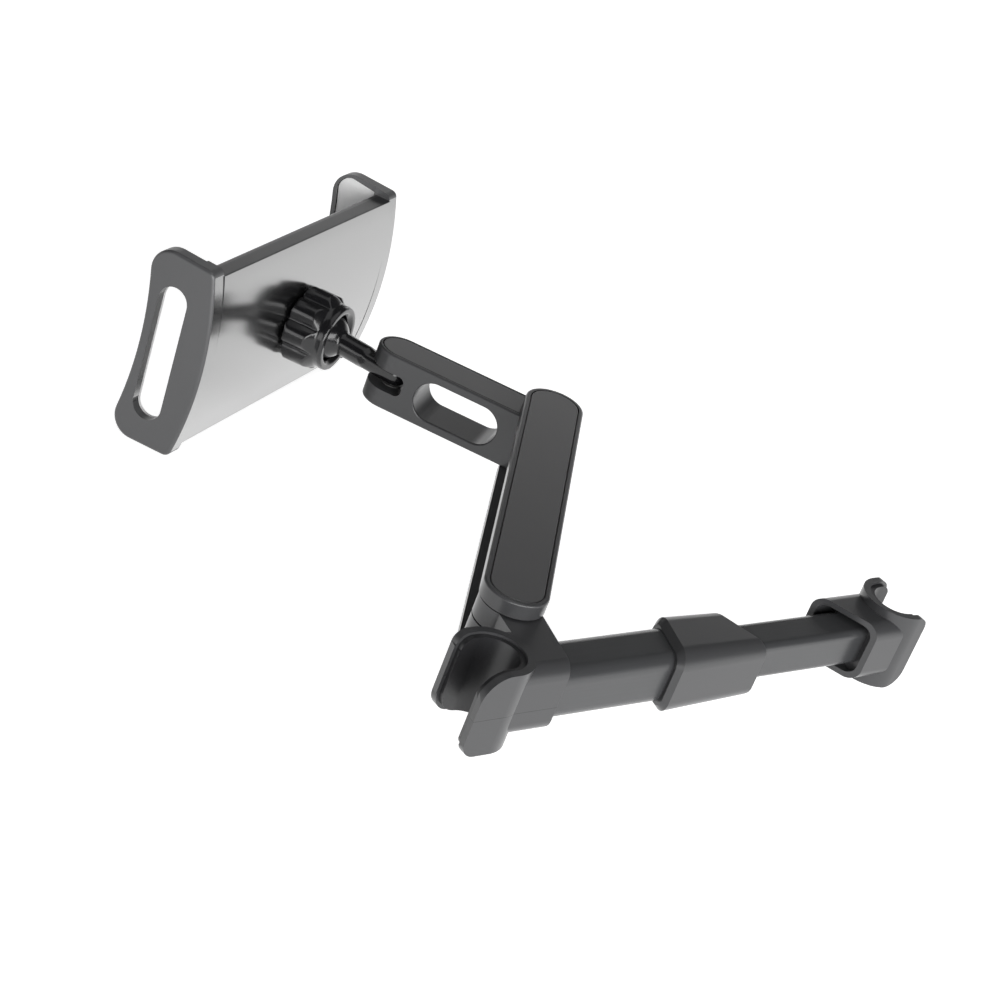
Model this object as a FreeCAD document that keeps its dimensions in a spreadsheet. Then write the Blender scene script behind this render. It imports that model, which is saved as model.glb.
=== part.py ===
import FreeCAD, Part
import math
import os
import Sketcher

# Headrest tablet mount: a telescopic bar hooks on the two headrest posts, two swing
# arms and a ball joint carry a spring jaw holder for a tablet.
# Frame: origin on the axis of the left claw at mid height of the bar, X along the bar,
# Y towards the back seat, Z up along the headrest posts.

os.makedirs("parts", exist_ok=True)
doc = FreeCAD.newDocument("HeadrestTabletMount")
sheet = doc.addObject("Spreadsheet::Sheet", "Sizes")
doc.recompute()
rows = {"next": 1}
pieces = []


class Size:
    """A length or angle as the sheet's expression text with its present value."""

    def __init__(self, text, value):
        self.text = text
        self.value = value

    def join(self, other, sign, value):
        return Size("(" + self.text + sign + words(other) + ")", value)

    def __add__(self, other):
        return self.join(other, " + ", self.value + plain(other))

    def __radd__(self, other):
        return self + other

    def __sub__(self, other):
        return self.join(other, " - ", self.value - plain(other))

    def __rsub__(self, other):
        return Size("(" + words(other) + " - " + self.text + ")", plain(other) - self.value)

    def __mul__(self, other):
        return self.join(other, " * ", self.value * plain(other))

    def __rmul__(self, other):
        return self * other

    def __truediv__(self, other):
        return self.join(other, " / ", self.value / plain(other))

    def __neg__(self):
        return Size("(0 - " + self.text + ")", -self.value)


def words(item):
    return item.text if isinstance(item, Size) else repr(float(item))


def plain(item):
    return item.value if isinstance(item, Size) else float(item)


def size(name, number):
    row = rows["next"]
    rows["next"] = row + 1
    sheet.set("A%d" % row, name)
    sheet.set("B%d" % row, str(number))
    sheet.setAlias("B%d" % row, name)
    return Size("Sizes." + name, float(number))


def cosine(angle):
    return Size("cos(" + angle.text + " * 1 deg)", math.cos(math.radians(angle.value)))


def leg(long_side, other_leg):
    text = "sqrt(%s * %s - %s * %s)" % (words(long_side), words(long_side), words(other_leg),
                                        words(other_leg))
    number = plain(long_side) * plain(long_side) - plain(other_leg) * plain(other_leg)
    return Size(text, math.sqrt(number))


def sine(angle):
    return Size("sin(" + angle.text + " * 1 deg)", math.sin(math.radians(angle.value)))


# Claws that hook on the headrest posts
post_spacing = size("post_spacing", 170.0)
claw_radius = size("claw_radius", 7.4)
liner_thickness = size("liner_thickness", 1.7)
claw_wall = size("claw_wall", 2.4)
claw_bottom = size("claw_bottom", 13.8)
claw_top = size("claw_top", 13.3)
left_near_leg = size("left_near_leg", 11.0)
left_far_leg = size("left_far_leg", 6.3)
right_far_leg = size("right_far_leg", 6.0)
right_near_leg = size("right_near_leg", 3.9)
leg_sweep = size("leg_sweep", 9.0)
low_sweep = size("low_sweep", 5.4)
tip_round = size("tip_round", 4.0)
tip_round_low = size("tip_round_low", 6.5)
liner_inset = size("liner_inset", 0.8)
# Housing at the left claw
housing_width = size("housing_width", 21.4)
housing_top = size("housing_top", 13.0)
housing_bottom = size("housing_bottom", 10.2)
housing_round = size("housing_round", 4.6)
housing_end = size("housing_end", 23.5)
end_slant = size("end_slant", 0.29)
# Telescopic bar
tube_width = size("tube_width", 17.2)
tube_height = size("tube_height", 17.4)
tube_wall = size("tube_wall", 1.9)
tube_round = size("tube_round", 4.2)
tube_start = size("tube_start", 12.4)
tube_end = size("tube_end", 96.4)
slide_gap = size("slide_gap", 0.25)
inner_wall = size("inner_wall", 1.6)
inner_start = size("inner_start", 68.4)
sleeve_middle = size("sleeve_middle", 83.6)
sleeve_length = size("sleeve_length", 30.4)
sleeve_width_wide = size("sleeve_width_wide", 23.4)
sleeve_height_wide = size("sleeve_height_wide", 22.6)
sleeve_width_small = size("sleeve_width_small", 21.0)
sleeve_height_small = size("sleeve_height_small", 20.2)
sleeve_bevel = size("sleeve_bevel", 2.0)
sleeve_slant = size("sleeve_slant", 0.36)
collar_width = size("collar_width", 21.6)
collar_height = size("collar_height", 21.0)
collar_mouth = size("collar_mouth", 21.8)
collar_slant = size("collar_slant", 0.44)
collar_wall = size("collar_wall", 1.8)
collar_depth = size("collar_depth", 6.0)
tube_seat = size("tube_seat", 13.2)
# Swing arms
pivot_along = size("pivot_along", 21.4)
pivot_back = size("pivot_back", 20.8)
neck_foot = size("neck_foot", 12.0)
arm_pitch = size("arm_pitch", 127.4)
arm_width = size("arm_width", 20.0)
plate_thickness = size("plate_thickness", 5.0)
plate_gap = size("plate_gap", 21.0)
knuckle_height = size("knuckle_height", 6.5)
washer_thickness = size("washer_thickness", 0.5)
washer_radius = size("washer_radius", 7.0)
cover_border = size("cover_border", 1.5)
cover_groove = size("cover_groove", 0.4)
cover_thickness = size("cover_thickness", 1.0)
rim_round = size("rim_round", 0.7)
cover_round = size("cover_round", 0.3)
pin_radius = size("pin_radius", 3.0)
pin_play = size("pin_play", 0.05)
pin_seat = size("pin_seat", 2.6)
short_arm_pitch = size("short_arm_pitch", 54.5)
short_arm_width = size("short_arm_width", 17.0)
window_start = size("window_start", 13.5)
window_end = size("window_end", 44.0)
window_height = size("window_height", 13.8)
window_round = size("window_round", 0.6)
fork_start = size("fork_start", 48.6)
fork_height = size("fork_height", 7.2)
fork_round = size("fork_round", 2.2)
square_hole = size("square_hole", 3.3)
square_along = size("square_along", 9.5)
square_apart = size("square_apart", 8.8)
square_depth = size("square_depth", 3.0)
lower_arm_angle = size("lower_arm_angle", 46.55)
short_arm_angle = size("short_arm_angle", 123.4)
# Ball stem and knob
stem_angle = size("stem_angle", 113.5)
stem_length = size("stem_length", 29.5)
stem_radius = size("stem_radius", 4.1)
eye_radius = size("eye_radius", 4.5)
eye_thickness = size("eye_thickness", 6.0)
eye_reach = size("eye_reach", 10.5)
eye_round = size("eye_round", 2.2)
rod_blend = size("rod_blend", 2.5)
fork_washer = size("fork_washer", 0.35)
fork_washer_radius = size("fork_washer_radius", 3.5)
fork_pin_radius = size("fork_pin_radius", 1.9)
ball_radius = size("ball_radius", 8.5)
ball_play = size("ball_play", 0.25)
seat_radius = size("seat_radius", 9.8)
seat_lip = size("seat_lip", 0.4)
cup_radius = size("cup_radius", 10.0)
cup_front = size("cup_front", 4.5)
cup_back = size("cup_back", 11.0)
knob_play = size("knob_play", 0.3)
knob_front = size("knob_front", 5.4)
knob_back = size("knob_back", 9.6)
knob_mouth = size("knob_mouth", 9.5)
knob_throat = size("knob_throat", 8.1)
knob_rim = size("knob_rim", 11.4)
knob_body = size("knob_body", 11.8)
lobe_radius = size("lobe_radius", 4.4)
lobe_circle = size("lobe_circle", 9.6)
lobe_length = size("lobe_length", 12.0)
# Tablet holder, measured from the centre of the ball
holder_angle = size("holder_angle", 27.3)
holder_tip = size("holder_tip", -3.0)
back_apex = size("back_apex", 11.2)
back_edge = size("back_edge", 14.2)
front_face = size("front_face", 20.6)
body_half = size("body_half", 58.6)
body_height = size("body_height", 61.0)
shell_wall = size("shell_wall", 2.0)
front_wall = size("front_wall", 2.0)
front_round = size("front_round", 1.2)
front_pad_width = size("front_pad_width", 96.0)
front_pad_height = size("front_pad_height", 46.0)
front_pad_round = size("front_pad_round", 4.0)
front_pad_sheet = size("front_pad_sheet", 1.0)
jaw_wall = size("jaw_wall", 3.4)
jaw_block = size("jaw_block", 3.0)
jaw_rim = size("jaw_rim", 2.0)
jaw_border = size("jaw_border", 2.2)
jaw_tip_round = size("jaw_tip_round", 7.5)
jaw_edge_round = size("jaw_edge_round", 1.1)
jaw_low_round = size("jaw_low_round", 3.0)
jaw_high_round = size("jaw_high_round", 2.5)
jaw_top = size("jaw_top", 34.4)
jaw_shoulder = size("jaw_shoulder", 32.6)
jaw_bottom = size("jaw_bottom", 34.3)
jaw_heel = size("jaw_heel", 14.6)
jaw_top_reach = size("jaw_top_reach", 38.8)
jaw_low_reach = size("jaw_low_reach", 39.1)
jaw_front_bow = size("jaw_front_bow", 138.0)
jaw_back_bow = size("jaw_back_bow", 127.0)
jaw_slot_width = size("jaw_slot_width", 10.6)
jaw_slot_height = size("jaw_slot_height", 47.6)
jaw_slot_back = size("jaw_slot_back", 26.1)
jaw_slot_lift = size("jaw_slot_lift", -1.3)
pad_thickness = size("pad_thickness", 1.2)
pad_play = size("pad_play", 0.3)
rack_reach = size("rack_reach", 36.0)
rack_root = size("rack_root", 7.25)
rack_top = size("rack_top", 12.6)
rack_back = size("rack_back", 15.0)
rack_thickness = size("rack_thickness", 3.3)
tooth_tip = size("tooth_tip", 5.35)
gear_root = size("gear_root", 4.75)
gear_tip = size("gear_tip", 6.65)
tooth_pitch = size("tooth_pitch", 3.1416)
tooth_foot = size("tooth_foot", 1.5)
tooth_crest = size("tooth_crest", 0.6)
axle_radius = size("axle_radius", 2.0)
stud_radius = size("stud_radius", 4.0)
stud_head = size("stud_head", 6.5)
screw_radius = size("screw_radius", 1.3)
screw_head = size("screw_head", 2.6)
screw_sink = size("screw_sink", 1.2)
screw_head_height = size("screw_head_height", 1.0)
screw_across = size("screw_across", 50.0)
screw_up = size("screw_up", 22.0)
doc.recompute()


def bind(item, field, amount):
    item.setExpression(field, words(amount))


def body(label):
    made = doc.addObject("PartDesign::Body", label)
    made.Label = label
    pieces.append(made)
    return made


def grouped(label, members):
    """Like pieces that share one node and stay separate solids."""
    made = doc.addObject("Part::Compound", label)
    made.Label = label
    made.Links = members
    for member in members:
        pieces.remove(member)
    pieces.append(made)
    return made


def put(made, across, back, up, swing, tip=None):
    """Puts a piece in the common frame: swing about Z, after a tip about its own X."""
    text = "placement(vector(%s; %s; %s); " % (words(across), words(back), words(up))
    text += "rotation(vector(0; 0; 1); %s)" % words(swing)
    if tip is not None:
        text += " * rotation(vector(1; 0; 0); %s)" % words(tip)
    made.setExpression("Placement", text + ")")


def sketch_on(owner, role, level, name):
    made = owner.newObject("Sketcher::SketchObject", owner.Label + "_" + name)
    for feature in owner.Origin.OriginFeatures:
        if feature.Role == role:
            made.AttachmentSupport = [(feature, "")]
    made.MapMode = "FlatFace"
    bind(made, "AttachmentOffset.Base.z", level)
    return made


def fix_way(sketch, kind, shape, spot, amount):
    rule = Sketcher.Constraint(kind, -1, 1, shape, spot, plain(amount))
    number = sketch.addConstraint(rule)
    bind(sketch, "Constraints[%d]" % number, amount)


def fix_point(sketch, shape, spot, across, up):
    fix_way(sketch, "DistanceX", shape, spot, across)
    fix_way(sketch, "DistanceY", shape, spot, up)


def add_polygon(sketch, corners):
    first = sketch.GeometryCount
    count = len(corners)
    for index in range(count):
        here = corners[index]
        there = corners[(index + 1) % count]
        start = FreeCAD.Vector(plain(here[0]), plain(here[1]), 0)
        finish = FreeCAD.Vector(plain(there[0]), plain(there[1]), 0)
        sketch.addGeometry(Part.LineSegment(start, finish), False)
    for index in range(count):
        follower = first + (index + 1) % count
        sketch.addConstraint(Sketcher.Constraint("Coincident", first + index, 2, follower, 1))
    for index in range(count):
        fix_point(sketch, first + index, 1, corners[index][0], corners[index][1])


def add_circle(sketch, across, up, radius):
    number = sketch.GeometryCount
    middle = FreeCAD.Vector(plain(across), plain(up), 0)
    sketch.addGeometry(Part.Circle(middle, FreeCAD.Vector(0, 0, 1), plain(radius)), False)
    fix_point(sketch, number, 3, across, up)
    rule = sketch.addConstraint(Sketcher.Constraint("Radius", number, plain(radius)))
    bind(sketch, "Constraints[%d]" % rule, radius)


def add_outline(sketch, across, up, wide, tall, rounding):
    """A rectangle with rounded corners about the point (across, up)."""
    half = plain(wide) / 2
    rise = plain(tall) / 2
    bend = plain(rounding)
    centre = FreeCAD.Vector(plain(across), plain(up), 0)
    first = sketch.GeometryCount
    way = FreeCAD.Vector(0, 0, 1)
    spots = [(half - bend, rise - bend, 0), (bend - half, rise - bend, 90)]
    spots += [(bend - half, bend - rise, 180), (half - bend, bend - rise, 270)]
    for x, y, angle in spots:
        circle = Part.Circle(centre + FreeCAD.Vector(x, y, 0), way, bend)
        begin = math.radians(angle)
        sketch.addGeometry(Part.ArcOfCircle(circle, begin, begin + math.pi / 2), False)
    for index in range(4):
        leave = sketch.Geometry[first + index].EndPoint
        reach = sketch.Geometry[first + (index + 1) % 4].StartPoint
        sketch.addGeometry(Part.LineSegment(leave, reach), False)
    for index in range(4):
        side = first + 4 + index
        after = first + (index + 1) % 4
        sketch.addConstraint(Sketcher.Constraint("Tangent", first + index, 2, side, 1))
        sketch.addConstraint(Sketcher.Constraint("Tangent", side, 2, after, 1))
    for index in range(4):
        kind = "Horizontal" if index in (0, 2) else "Vertical"
        sketch.addConstraint(Sketcher.Constraint(kind, first + 4 + index))
    for index in range(1, 4):
        sketch.addConstraint(Sketcher.Constraint("Equal", first, first + index))
    rule = sketch.addConstraint(Sketcher.Constraint("Radius", first, bend))
    bind(sketch, "Constraints[%d]" % rule, rounding)
    fix_point(sketch, first, 3, across + wide / 2 - rounding, up + tall / 2 - rounding)
    fix_point(sketch, first + 2, 3, across - wide / 2 + rounding, up - tall / 2 + rounding)


def add_stadium(sketch, left, right, up, radius, upright=False):
    """Two half circles joined by straight sides, lying, or standing when upright."""
    first = sketch.GeometryCount
    way = FreeCAD.Vector(0, 0, 1)
    ends = [(right, up, -90), (left, up, 90)]
    if upright:
        ends = [(up, right, 0), (up, left, 180)]
    for across, height, angle in ends:
        middle = FreeCAD.Vector(plain(across), plain(height), 0)
        begin = math.radians(angle)
        circle = Part.Circle(middle, way, plain(radius))
        sketch.addGeometry(Part.ArcOfCircle(circle, begin, begin + math.pi), False)
    for index in range(2):
        leave = sketch.Geometry[first + index].EndPoint
        reach = sketch.Geometry[first + 1 - index].StartPoint
        sketch.addGeometry(Part.LineSegment(leave, reach), False)
    for index in range(2):
        side = first + 2 + index
        sketch.addConstraint(Sketcher.Constraint("Tangent", first + index, 2, side, 1))
        sketch.addConstraint(Sketcher.Constraint("Tangent", side, 2, first + 1 - index, 1))
    rule = sketch.addConstraint(Sketcher.Constraint("Radius", first, plain(radius)))
    bind(sketch, "Constraints[%d]" % rule, radius)
    fix_point(sketch, first, 3, ends[0][0], ends[0][1])
    fix_point(sketch, first + 1, 3, ends[1][0], ends[1][1])


def add_chain(sketch, corners):
    """A closed outline. Each corner is (across, up, radius of the side that leaves it):
    no radius for a straight side, above 0 bowed to the right, below 0 to the left."""
    first = sketch.GeometryCount
    count = len(corners)
    enter = []
    for index in range(count):
        here = corners[index]
        there = corners[(index + 1) % count]
        start = FreeCAD.Vector(plain(here[0]), plain(here[1]), 0)
        finish = FreeCAD.Vector(plain(there[0]), plain(there[1]), 0)
        if here[2] is None:
            sketch.addGeometry(Part.LineSegment(start, finish), False)
            enter.append(1)
            continue
        bend = plain(here[2])
        way = finish - start
        depth = math.sqrt(bend * bend - way.Length * way.Length / 4)
        left = FreeCAD.Vector(-way.y, way.x, 0).normalize()
        side = 1 if bend > 0 else -1
        middle = (start + finish) * 0.5 + left * depth * side
        angles = []
        for spot in (start, finish):
            away = spot - middle
            angles.append(math.atan2(away.y, away.x))
        if side < 0:
            angles.reverse()
        if angles[1] < angles[0]:
            angles[1] += math.pi * 2
        circle = Part.Circle(middle, FreeCAD.Vector(0, 0, 1), abs(bend))
        sketch.addGeometry(Part.ArcOfCircle(circle, angles[0], angles[1]), False)
        enter.append(1 if side > 0 else 2)
    for index in range(count):
        after = (index + 1) % count
        rule = Sketcher.Constraint("Coincident", first + index, 3 - enter[index],
                                   first + after, enter[after])
        sketch.addConstraint(rule)
    for index in range(count):
        here = corners[index]
        fix_point(sketch, first + index, enter[index], here[0], here[1])
        if here[2] is not None:
            bend = here[2] if plain(here[2]) > 0 else -here[2]
            rule = sketch.addConstraint(Sketcher.Constraint("Radius", first + index, plain(bend)))
            bind(sketch, "Constraints[%d]" % rule, bend)


def volume_of(owner):
    doc.recompute()
    return owner.Shape.Volume if not owner.Shape.isNull() else 0.0


def pad(owner, sketch, length, reverse=False, middle=False):
    made = owner.newObject("PartDesign::Pad", sketch.Name + "_pad")
    made.Profile = sketch
    bind(made, "Length", length)
    made.Reversed = reverse
    made.Midplane = middle
    doc.recompute()
    return made


def pocket(owner, sketch, length, reverse=False, middle=False):
    before = volume_of(owner)
    made = owner.newObject("PartDesign::Pocket", sketch.Name + "_pocket")
    made.Profile = sketch
    bind(made, "Length", length)
    made.Reversed = reverse
    made.Midplane = middle
    after = volume_of(owner)
    if not after < before - 1e-3:
        raise RuntimeError("nothing removed by " + made.Name)
    return made


def turn(owner, kind, sketch, axis_role):
    made = owner.newObject(kind, sketch.Name + "_turn")
    made.Profile = sketch
    made.ReferenceAxis = (sketch, [axis_role])
    made.Angle = 360
    doc.recompute()
    return made


def dress(owner, kind, field, amount, chosen):
    """Rounds or bevels those edges of the last feature that chosen accepts."""
    doc.recompute()
    last = owner.Tip
    names = []
    for number, edge in enumerate(last.Shape.Edges, 1):
        if chosen(edge):
            names.append("Edge%d" % number)
    if not names:
        raise RuntimeError("no edge found to dress on " + owner.Label)
    made = owner.newObject(kind, owner.Label + "_dress%d" % len(owner.Group))
    made.Base = (last, names)
    bind(made, field, amount)
    doc.recompute()
    return made


def at_height(level):
    def test(edge):
        box = edge.BoundBox
        return abs(box.ZMin - level) < 1e-4 and abs(box.ZMax - level) < 1e-4
    return test


# The bar's claws: a channel that opens along -X, with one leg on each side.
def claw_outline(sketch, radius, front_reach, back_reach):
    """Channel seen from above: half round back, one leg on -Y and one on +Y."""
    first = sketch.GeometryCount
    bend = plain(radius)
    way = FreeCAD.Vector(0, 0, 1)
    circle = Part.Circle(FreeCAD.Vector(0, 0, 0), way, bend)
    sketch.addGeometry(Part.ArcOfCircle(circle, -math.pi / 2, math.pi / 2), False)
    spots = [(0, bend), (-plain(back_reach), bend)]
    spots += [(-plain(front_reach), -bend), (0, -bend)]
    for index in range(3):
        start = FreeCAD.Vector(spots[index][0], spots[index][1], 0)
        finish = FreeCAD.Vector(spots[index + 1][0], spots[index + 1][1], 0)
        sketch.addGeometry(Part.LineSegment(start, finish), False)
    sketch.addConstraint(Sketcher.Constraint("Coincident", first, 2, first + 1, 1))
    sketch.addConstraint(Sketcher.Constraint("Coincident", first + 1, 2, first + 2, 1))
    sketch.addConstraint(Sketcher.Constraint("Coincident", first + 2, 2, first + 3, 1))
    sketch.addConstraint(Sketcher.Constraint("Coincident", first + 3, 2, first, 1))
    fix_point(sketch, first, 3, Size("0", 0), Size("0", 0))
    fix_way(sketch, "DistanceX", first + 1, 1, Size("0", 0))
    fix_way(sketch, "DistanceX", first + 1, 2, -back_reach)
    sketch.addConstraint(Sketcher.Constraint("Horizontal", first + 1))
    fix_point(sketch, first + 3, 1, -front_reach, -radius)
    fix_point(sketch, first + 3, 2, Size("0", 0), -radius)


zero = Size("0", 0.0)
shell_inner = claw_radius + liner_thickness
shell_outer = shell_inner + claw_wall
claw_height = claw_top + claw_bottom
far_reach = Size("30", 30.0)


class Legs:
    """Reach of a claw's two legs past the channel's round end, and the tips' roundings."""

    def __init__(self, front, front_top, front_low, back):
        self.front = front
        self.front_top = front_top
        self.front_low = front_low
        self.back = back


def claw_shell(owner, legs):
    outside = sketch_on(owner, "XY_Plane", -claw_bottom, "claw")
    claw_outline(outside, shell_outer, legs.front, legs.back)
    pad(owner, outside, claw_height)


def claw_cuts(owner, legs):
    """The post channel and the rounded corners of the two leg tips."""
    inside = sketch_on(owner, "XY_Plane", -claw_bottom - 1, "channel")
    claw_outline(inside, shell_inner, legs.front + legs.back, legs.front + legs.back)
    pocket(owner, inside, claw_height + 2, reverse=True)
    round_tips(owner, legs, zero)


def round_tips(owner, legs, inset):
    top = claw_top - inset
    low = inset - claw_bottom
    tip_cut(owner, "front_top", inset - legs.front, top, legs.front_top, 1, -1)
    tip_cut(owner, "front_low", inset - legs.front, low, legs.front_low, -1, -1)
    tip_cut(owner, "back_top", inset - legs.back, top, tip_round, 1, 1)
    tip_cut(owner, "back_low", inset - legs.back, low, tip_round_low, -1, 1)


def tip_cut(owner, name, tip, level, bend, upward, side):
    """Takes a corner off one leg: the square at the tip less a quarter circle."""
    spot = sketch_on(owner, "XZ_Plane", zero, name)
    first = spot.GeometryCount
    edge = plain(tip)
    rise = plain(level)
    turn_radius = plain(bend)
    middle = FreeCAD.Vector(edge + turn_radius, rise - upward * turn_radius, 0)
    circle = Part.Circle(middle, FreeCAD.Vector(0, 0, 1), turn_radius)
    begin = math.pi / 2 if upward > 0 else math.pi
    spot.addGeometry(Part.ArcOfCircle(circle, begin, begin + math.pi / 2), False)
    high = FreeCAD.Vector(edge + turn_radius, rise, 0)
    low = FreeCAD.Vector(edge, rise - upward * turn_radius, 0)
    far_high = FreeCAD.Vector(edge + turn_radius, rise + upward, 0)
    far_corner = FreeCAD.Vector(edge - 2, rise + upward, 0)
    far_low = FreeCAD.Vector(edge - 2, rise - upward * turn_radius, 0)
    chain = [high, far_high, far_corner, far_low, low]
    if upward < 0:
        chain.reverse()
    for index in range(4):
        spot.addGeometry(Part.LineSegment(chain[index], chain[index + 1]), False)
    spot.addConstraint(Sketcher.Constraint("Coincident", first, 1, first + 1, 1))
    spot.addConstraint(Sketcher.Constraint("Coincident", first + 1, 2, first + 2, 1))
    spot.addConstraint(Sketcher.Constraint("Coincident", first + 2, 2, first + 3, 1))
    spot.addConstraint(Sketcher.Constraint("Coincident", first + 3, 2, first + 4, 1))
    spot.addConstraint(Sketcher.Constraint("Coincident", first + 4, 2, first, 2))
    named = {"high": (tip + bend, level), "far_high": (tip + bend, level + upward)}
    named["far_corner"] = (tip - 2, level + upward)
    named["far_low"] = (tip - 2, level - bend * upward)
    named["low"] = (tip, level - bend * upward)
    order = ["high", "far_high", "far_corner", "far_low", "low"]
    if upward < 0:
        order.reverse()
    for index in range(4):
        place = named[order[index]]
        fix_point(spot, first + 1 + index, 1, place[0], place[1])
    place = named[order[4]]
    fix_point(spot, first + 4, 2, place[0], place[1])
    fix_way(spot, "DistanceX", first, 3, tip + bend)
    pocket(owner, spot, shell_outer + 2, reverse=(side < 0))


def rounded_box_along(owner, name, start, length, wide, tall, rounding, lift=zero):
    profile = sketch_on(owner, "YZ_Plane", start, name)
    add_outline(profile, zero, lift, wide, tall, rounding)
    return pad(owner, profile, length)


def cut_end(owner, name, middle, slant, reach, keep_left=True):
    """Trims a bar end to a plane that leans in plan: X = middle + slant * Y."""
    plan = sketch_on(owner, "XY_Plane", -reach, name)
    side = reach
    away = middle + reach * 2 if keep_left else middle - reach * 2
    corners = [(middle - slant * side, -side), (away, -side), (away, side)]
    corners.append((middle + slant * side, side))
    add_polygon(plan, corners)
    pocket(owner, plan, reach * 2, reverse=True)


# Left clamp: housing with claw, tube socket and arm knuckle in one moulding
housing = body("clamp_housing")
box_height = housing_top + housing_bottom
box_lift = (housing_top - housing_bottom) / 2
rounded_box_along(housing, "box", zero + 1, housing_end + 14, housing_width, box_height,
                  housing_round, box_lift)
neck = sketch_on(housing, "XY_Plane", housing_top - knuckle_height, "neck")
neck_side = arm_width * 0.36
neck_corners = [(pivot_along - neck_foot, zero), (housing_end + neck_side, zero)]
neck_corners += [(housing_end + neck_side, pivot_back - neck_side), (pivot_along, pivot_back)]
neck_corners.append((pivot_along - neck_side, pivot_back))
add_polygon(neck, neck_corners)
pad(housing, neck, knuckle_height)
cut_end(housing, "end", housing_end, end_slant, far_reach)
left_legs = Legs(left_near_leg, leg_sweep, low_sweep, left_far_leg)
claw_shell(housing, left_legs)
knuckle = sketch_on(housing, "XY_Plane", housing_top - knuckle_height, "knuckle")
add_circle(knuckle, pivot_along, pivot_back, arm_width / 2 - 0.3)
pad(housing, knuckle, knuckle_height)
claw_cuts(housing, left_legs)
bore = sketch_on(housing, "XY_Plane", housing_top, "bore")
add_circle(bore, pivot_along, pivot_back, pin_radius + pin_play)
pocket(housing, bore, knuckle_height + 1)
socket = sketch_on(housing, "YZ_Plane", tube_start, "socket")
add_outline(socket, zero, zero, tube_width, tube_height, tube_round)
pocket(housing, socket, post_spacing, reverse=True)


def claw_liner(label, legs):
    """Soft liner that lies in the channel, just short of the shell's rims."""
    made = body(label)
    outer = sketch_on(made, "XY_Plane", liner_inset - claw_bottom, "outer")
    claw_outline(outer, shell_inner, legs.front - liner_inset, legs.back - liner_inset)
    pad(made, outer, claw_height - liner_inset * 2)
    inner = sketch_on(made, "XY_Plane", -claw_bottom - 1, "inner")
    claw_outline(inner, claw_radius, legs.front + legs.back, legs.front + legs.back)
    pocket(made, inner, claw_height + 2, reverse=True)
    round_tips(made, legs, liner_inset)
    return made


left_liner = claw_liner("left_claw_liner", left_legs)

# Telescopic bar
outer_tube = body("outer_tube")
rounded_box_along(outer_tube, "outside", tube_start, tube_end - tube_start, tube_width,
                  tube_height, tube_round)
hollow = sketch_on(outer_tube, "YZ_Plane", tube_start + 3, "hollow")
hollow_width = tube_width - tube_wall * 2
hollow_height = tube_height - tube_wall * 2
add_outline(hollow, zero, zero, hollow_width, hollow_height, tube_round - tube_wall)
pocket(outer_tube, hollow, post_spacing, reverse=True)

inner_width = hollow_width - slide_gap * 2
inner_height = hollow_height - slide_gap * 2
inner_round = tube_round - tube_wall
inner_length = post_spacing - tube_seat - inner_start
inner_tube = body("inner_tube")
rounded_box_along(inner_tube, "outside", inner_start, inner_length, inner_width, inner_height,
                  inner_round)
inside = sketch_on(inner_tube, "YZ_Plane", inner_start, "hollow")
add_outline(inside, zero, zero, inner_width - inner_wall * 2, inner_height - inner_wall * 2,
            inner_round - inner_wall * 0.5)
pocket(inner_tube, inside, inner_length - 2, reverse=True)

# Sleeve: a tapered collar with both ends slanted in plan and a bevel at the wide end
sleeve = body("bar_sleeve")
sleeve_start = sleeve_middle - sleeve_length / 2
sleeve_finish = sleeve_middle + sleeve_length / 2
wide_end = sketch_on(sleeve, "YZ_Plane", sleeve_start - 5, "wide")
add_outline(wide_end, zero, zero, sleeve_width_wide, sleeve_height_wide, housing_round + 1)
small_end = sketch_on(sleeve, "YZ_Plane", sleeve_finish + 5, "small")
add_outline(small_end, zero, zero, sleeve_width_small, sleeve_height_small, housing_round)
loft = sleeve.newObject("PartDesign::AdditiveLoft", "sleeve_loft")
loft.Profile = wide_end
loft.Sections = [small_end]
loft.Ruled = True
doc.recompute()
cut_end(sleeve, "left_end", sleeve_start, sleeve_slant, far_reach, keep_left=False)


def on_slant(middle, slant, sign):
    def test(edge):
        for spot in edge.Vertexes:
            gap = spot.Point.x - middle - sign * slant * spot.Point.y
            if abs(gap) > 1e-3:
                return False
        return True
    return test


wide_rim = on_slant(sleeve_start.value, sleeve_slant.value, 1)
dress(sleeve, "PartDesign::Chamfer", "Size", sleeve_bevel, wide_rim)
cut_end(sleeve, "right_end", sleeve_finish, -sleeve_slant, far_reach)
tube_room = sketch_on(sleeve, "YZ_Plane", tube_end, "tube_room")
add_outline(tube_room, zero, zero, tube_width, tube_height, tube_round)
pocket(sleeve, tube_room, post_spacing)
slide_room = sketch_on(sleeve, "YZ_Plane", tube_end - 1, "slide_room")
add_outline(slide_room, zero, zero, hollow_width, hollow_height, inner_round)
pocket(sleeve, slide_room, post_spacing, reverse=True)

# Right clamp, drawn turned half round: a claw with an open collar for the inner tube
right_clamp = body("right_clamp")
rounded_box_along(right_clamp, "box", zero + 1, collar_mouth + 14, collar_width, collar_height,
                  housing_round)
cut_end(right_clamp, "end", collar_mouth, -collar_slant, far_reach)
right_legs = Legs(right_far_leg, tip_round, tip_round_low, right_near_leg)
claw_shell(right_clamp, right_legs)
claw_cuts(right_clamp, right_legs)
mouth = sketch_on(right_clamp, "YZ_Plane", collar_mouth - collar_depth, "mouth")
mouth_width = collar_width - collar_wall * 2
mouth_height = collar_height - collar_wall * 2
add_outline(mouth, zero, zero, mouth_width, mouth_height, housing_round - collar_wall * 0.6)
pocket(right_clamp, mouth, post_spacing, reverse=True)
seat = sketch_on(right_clamp, "YZ_Plane", tube_seat, "seat")
add_outline(seat, zero, zero, inner_width, inner_height, inner_round)
pocket(right_clamp, seat, post_spacing, reverse=True)
right_liner = claw_liner("right_claw_liner", right_legs)

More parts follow.
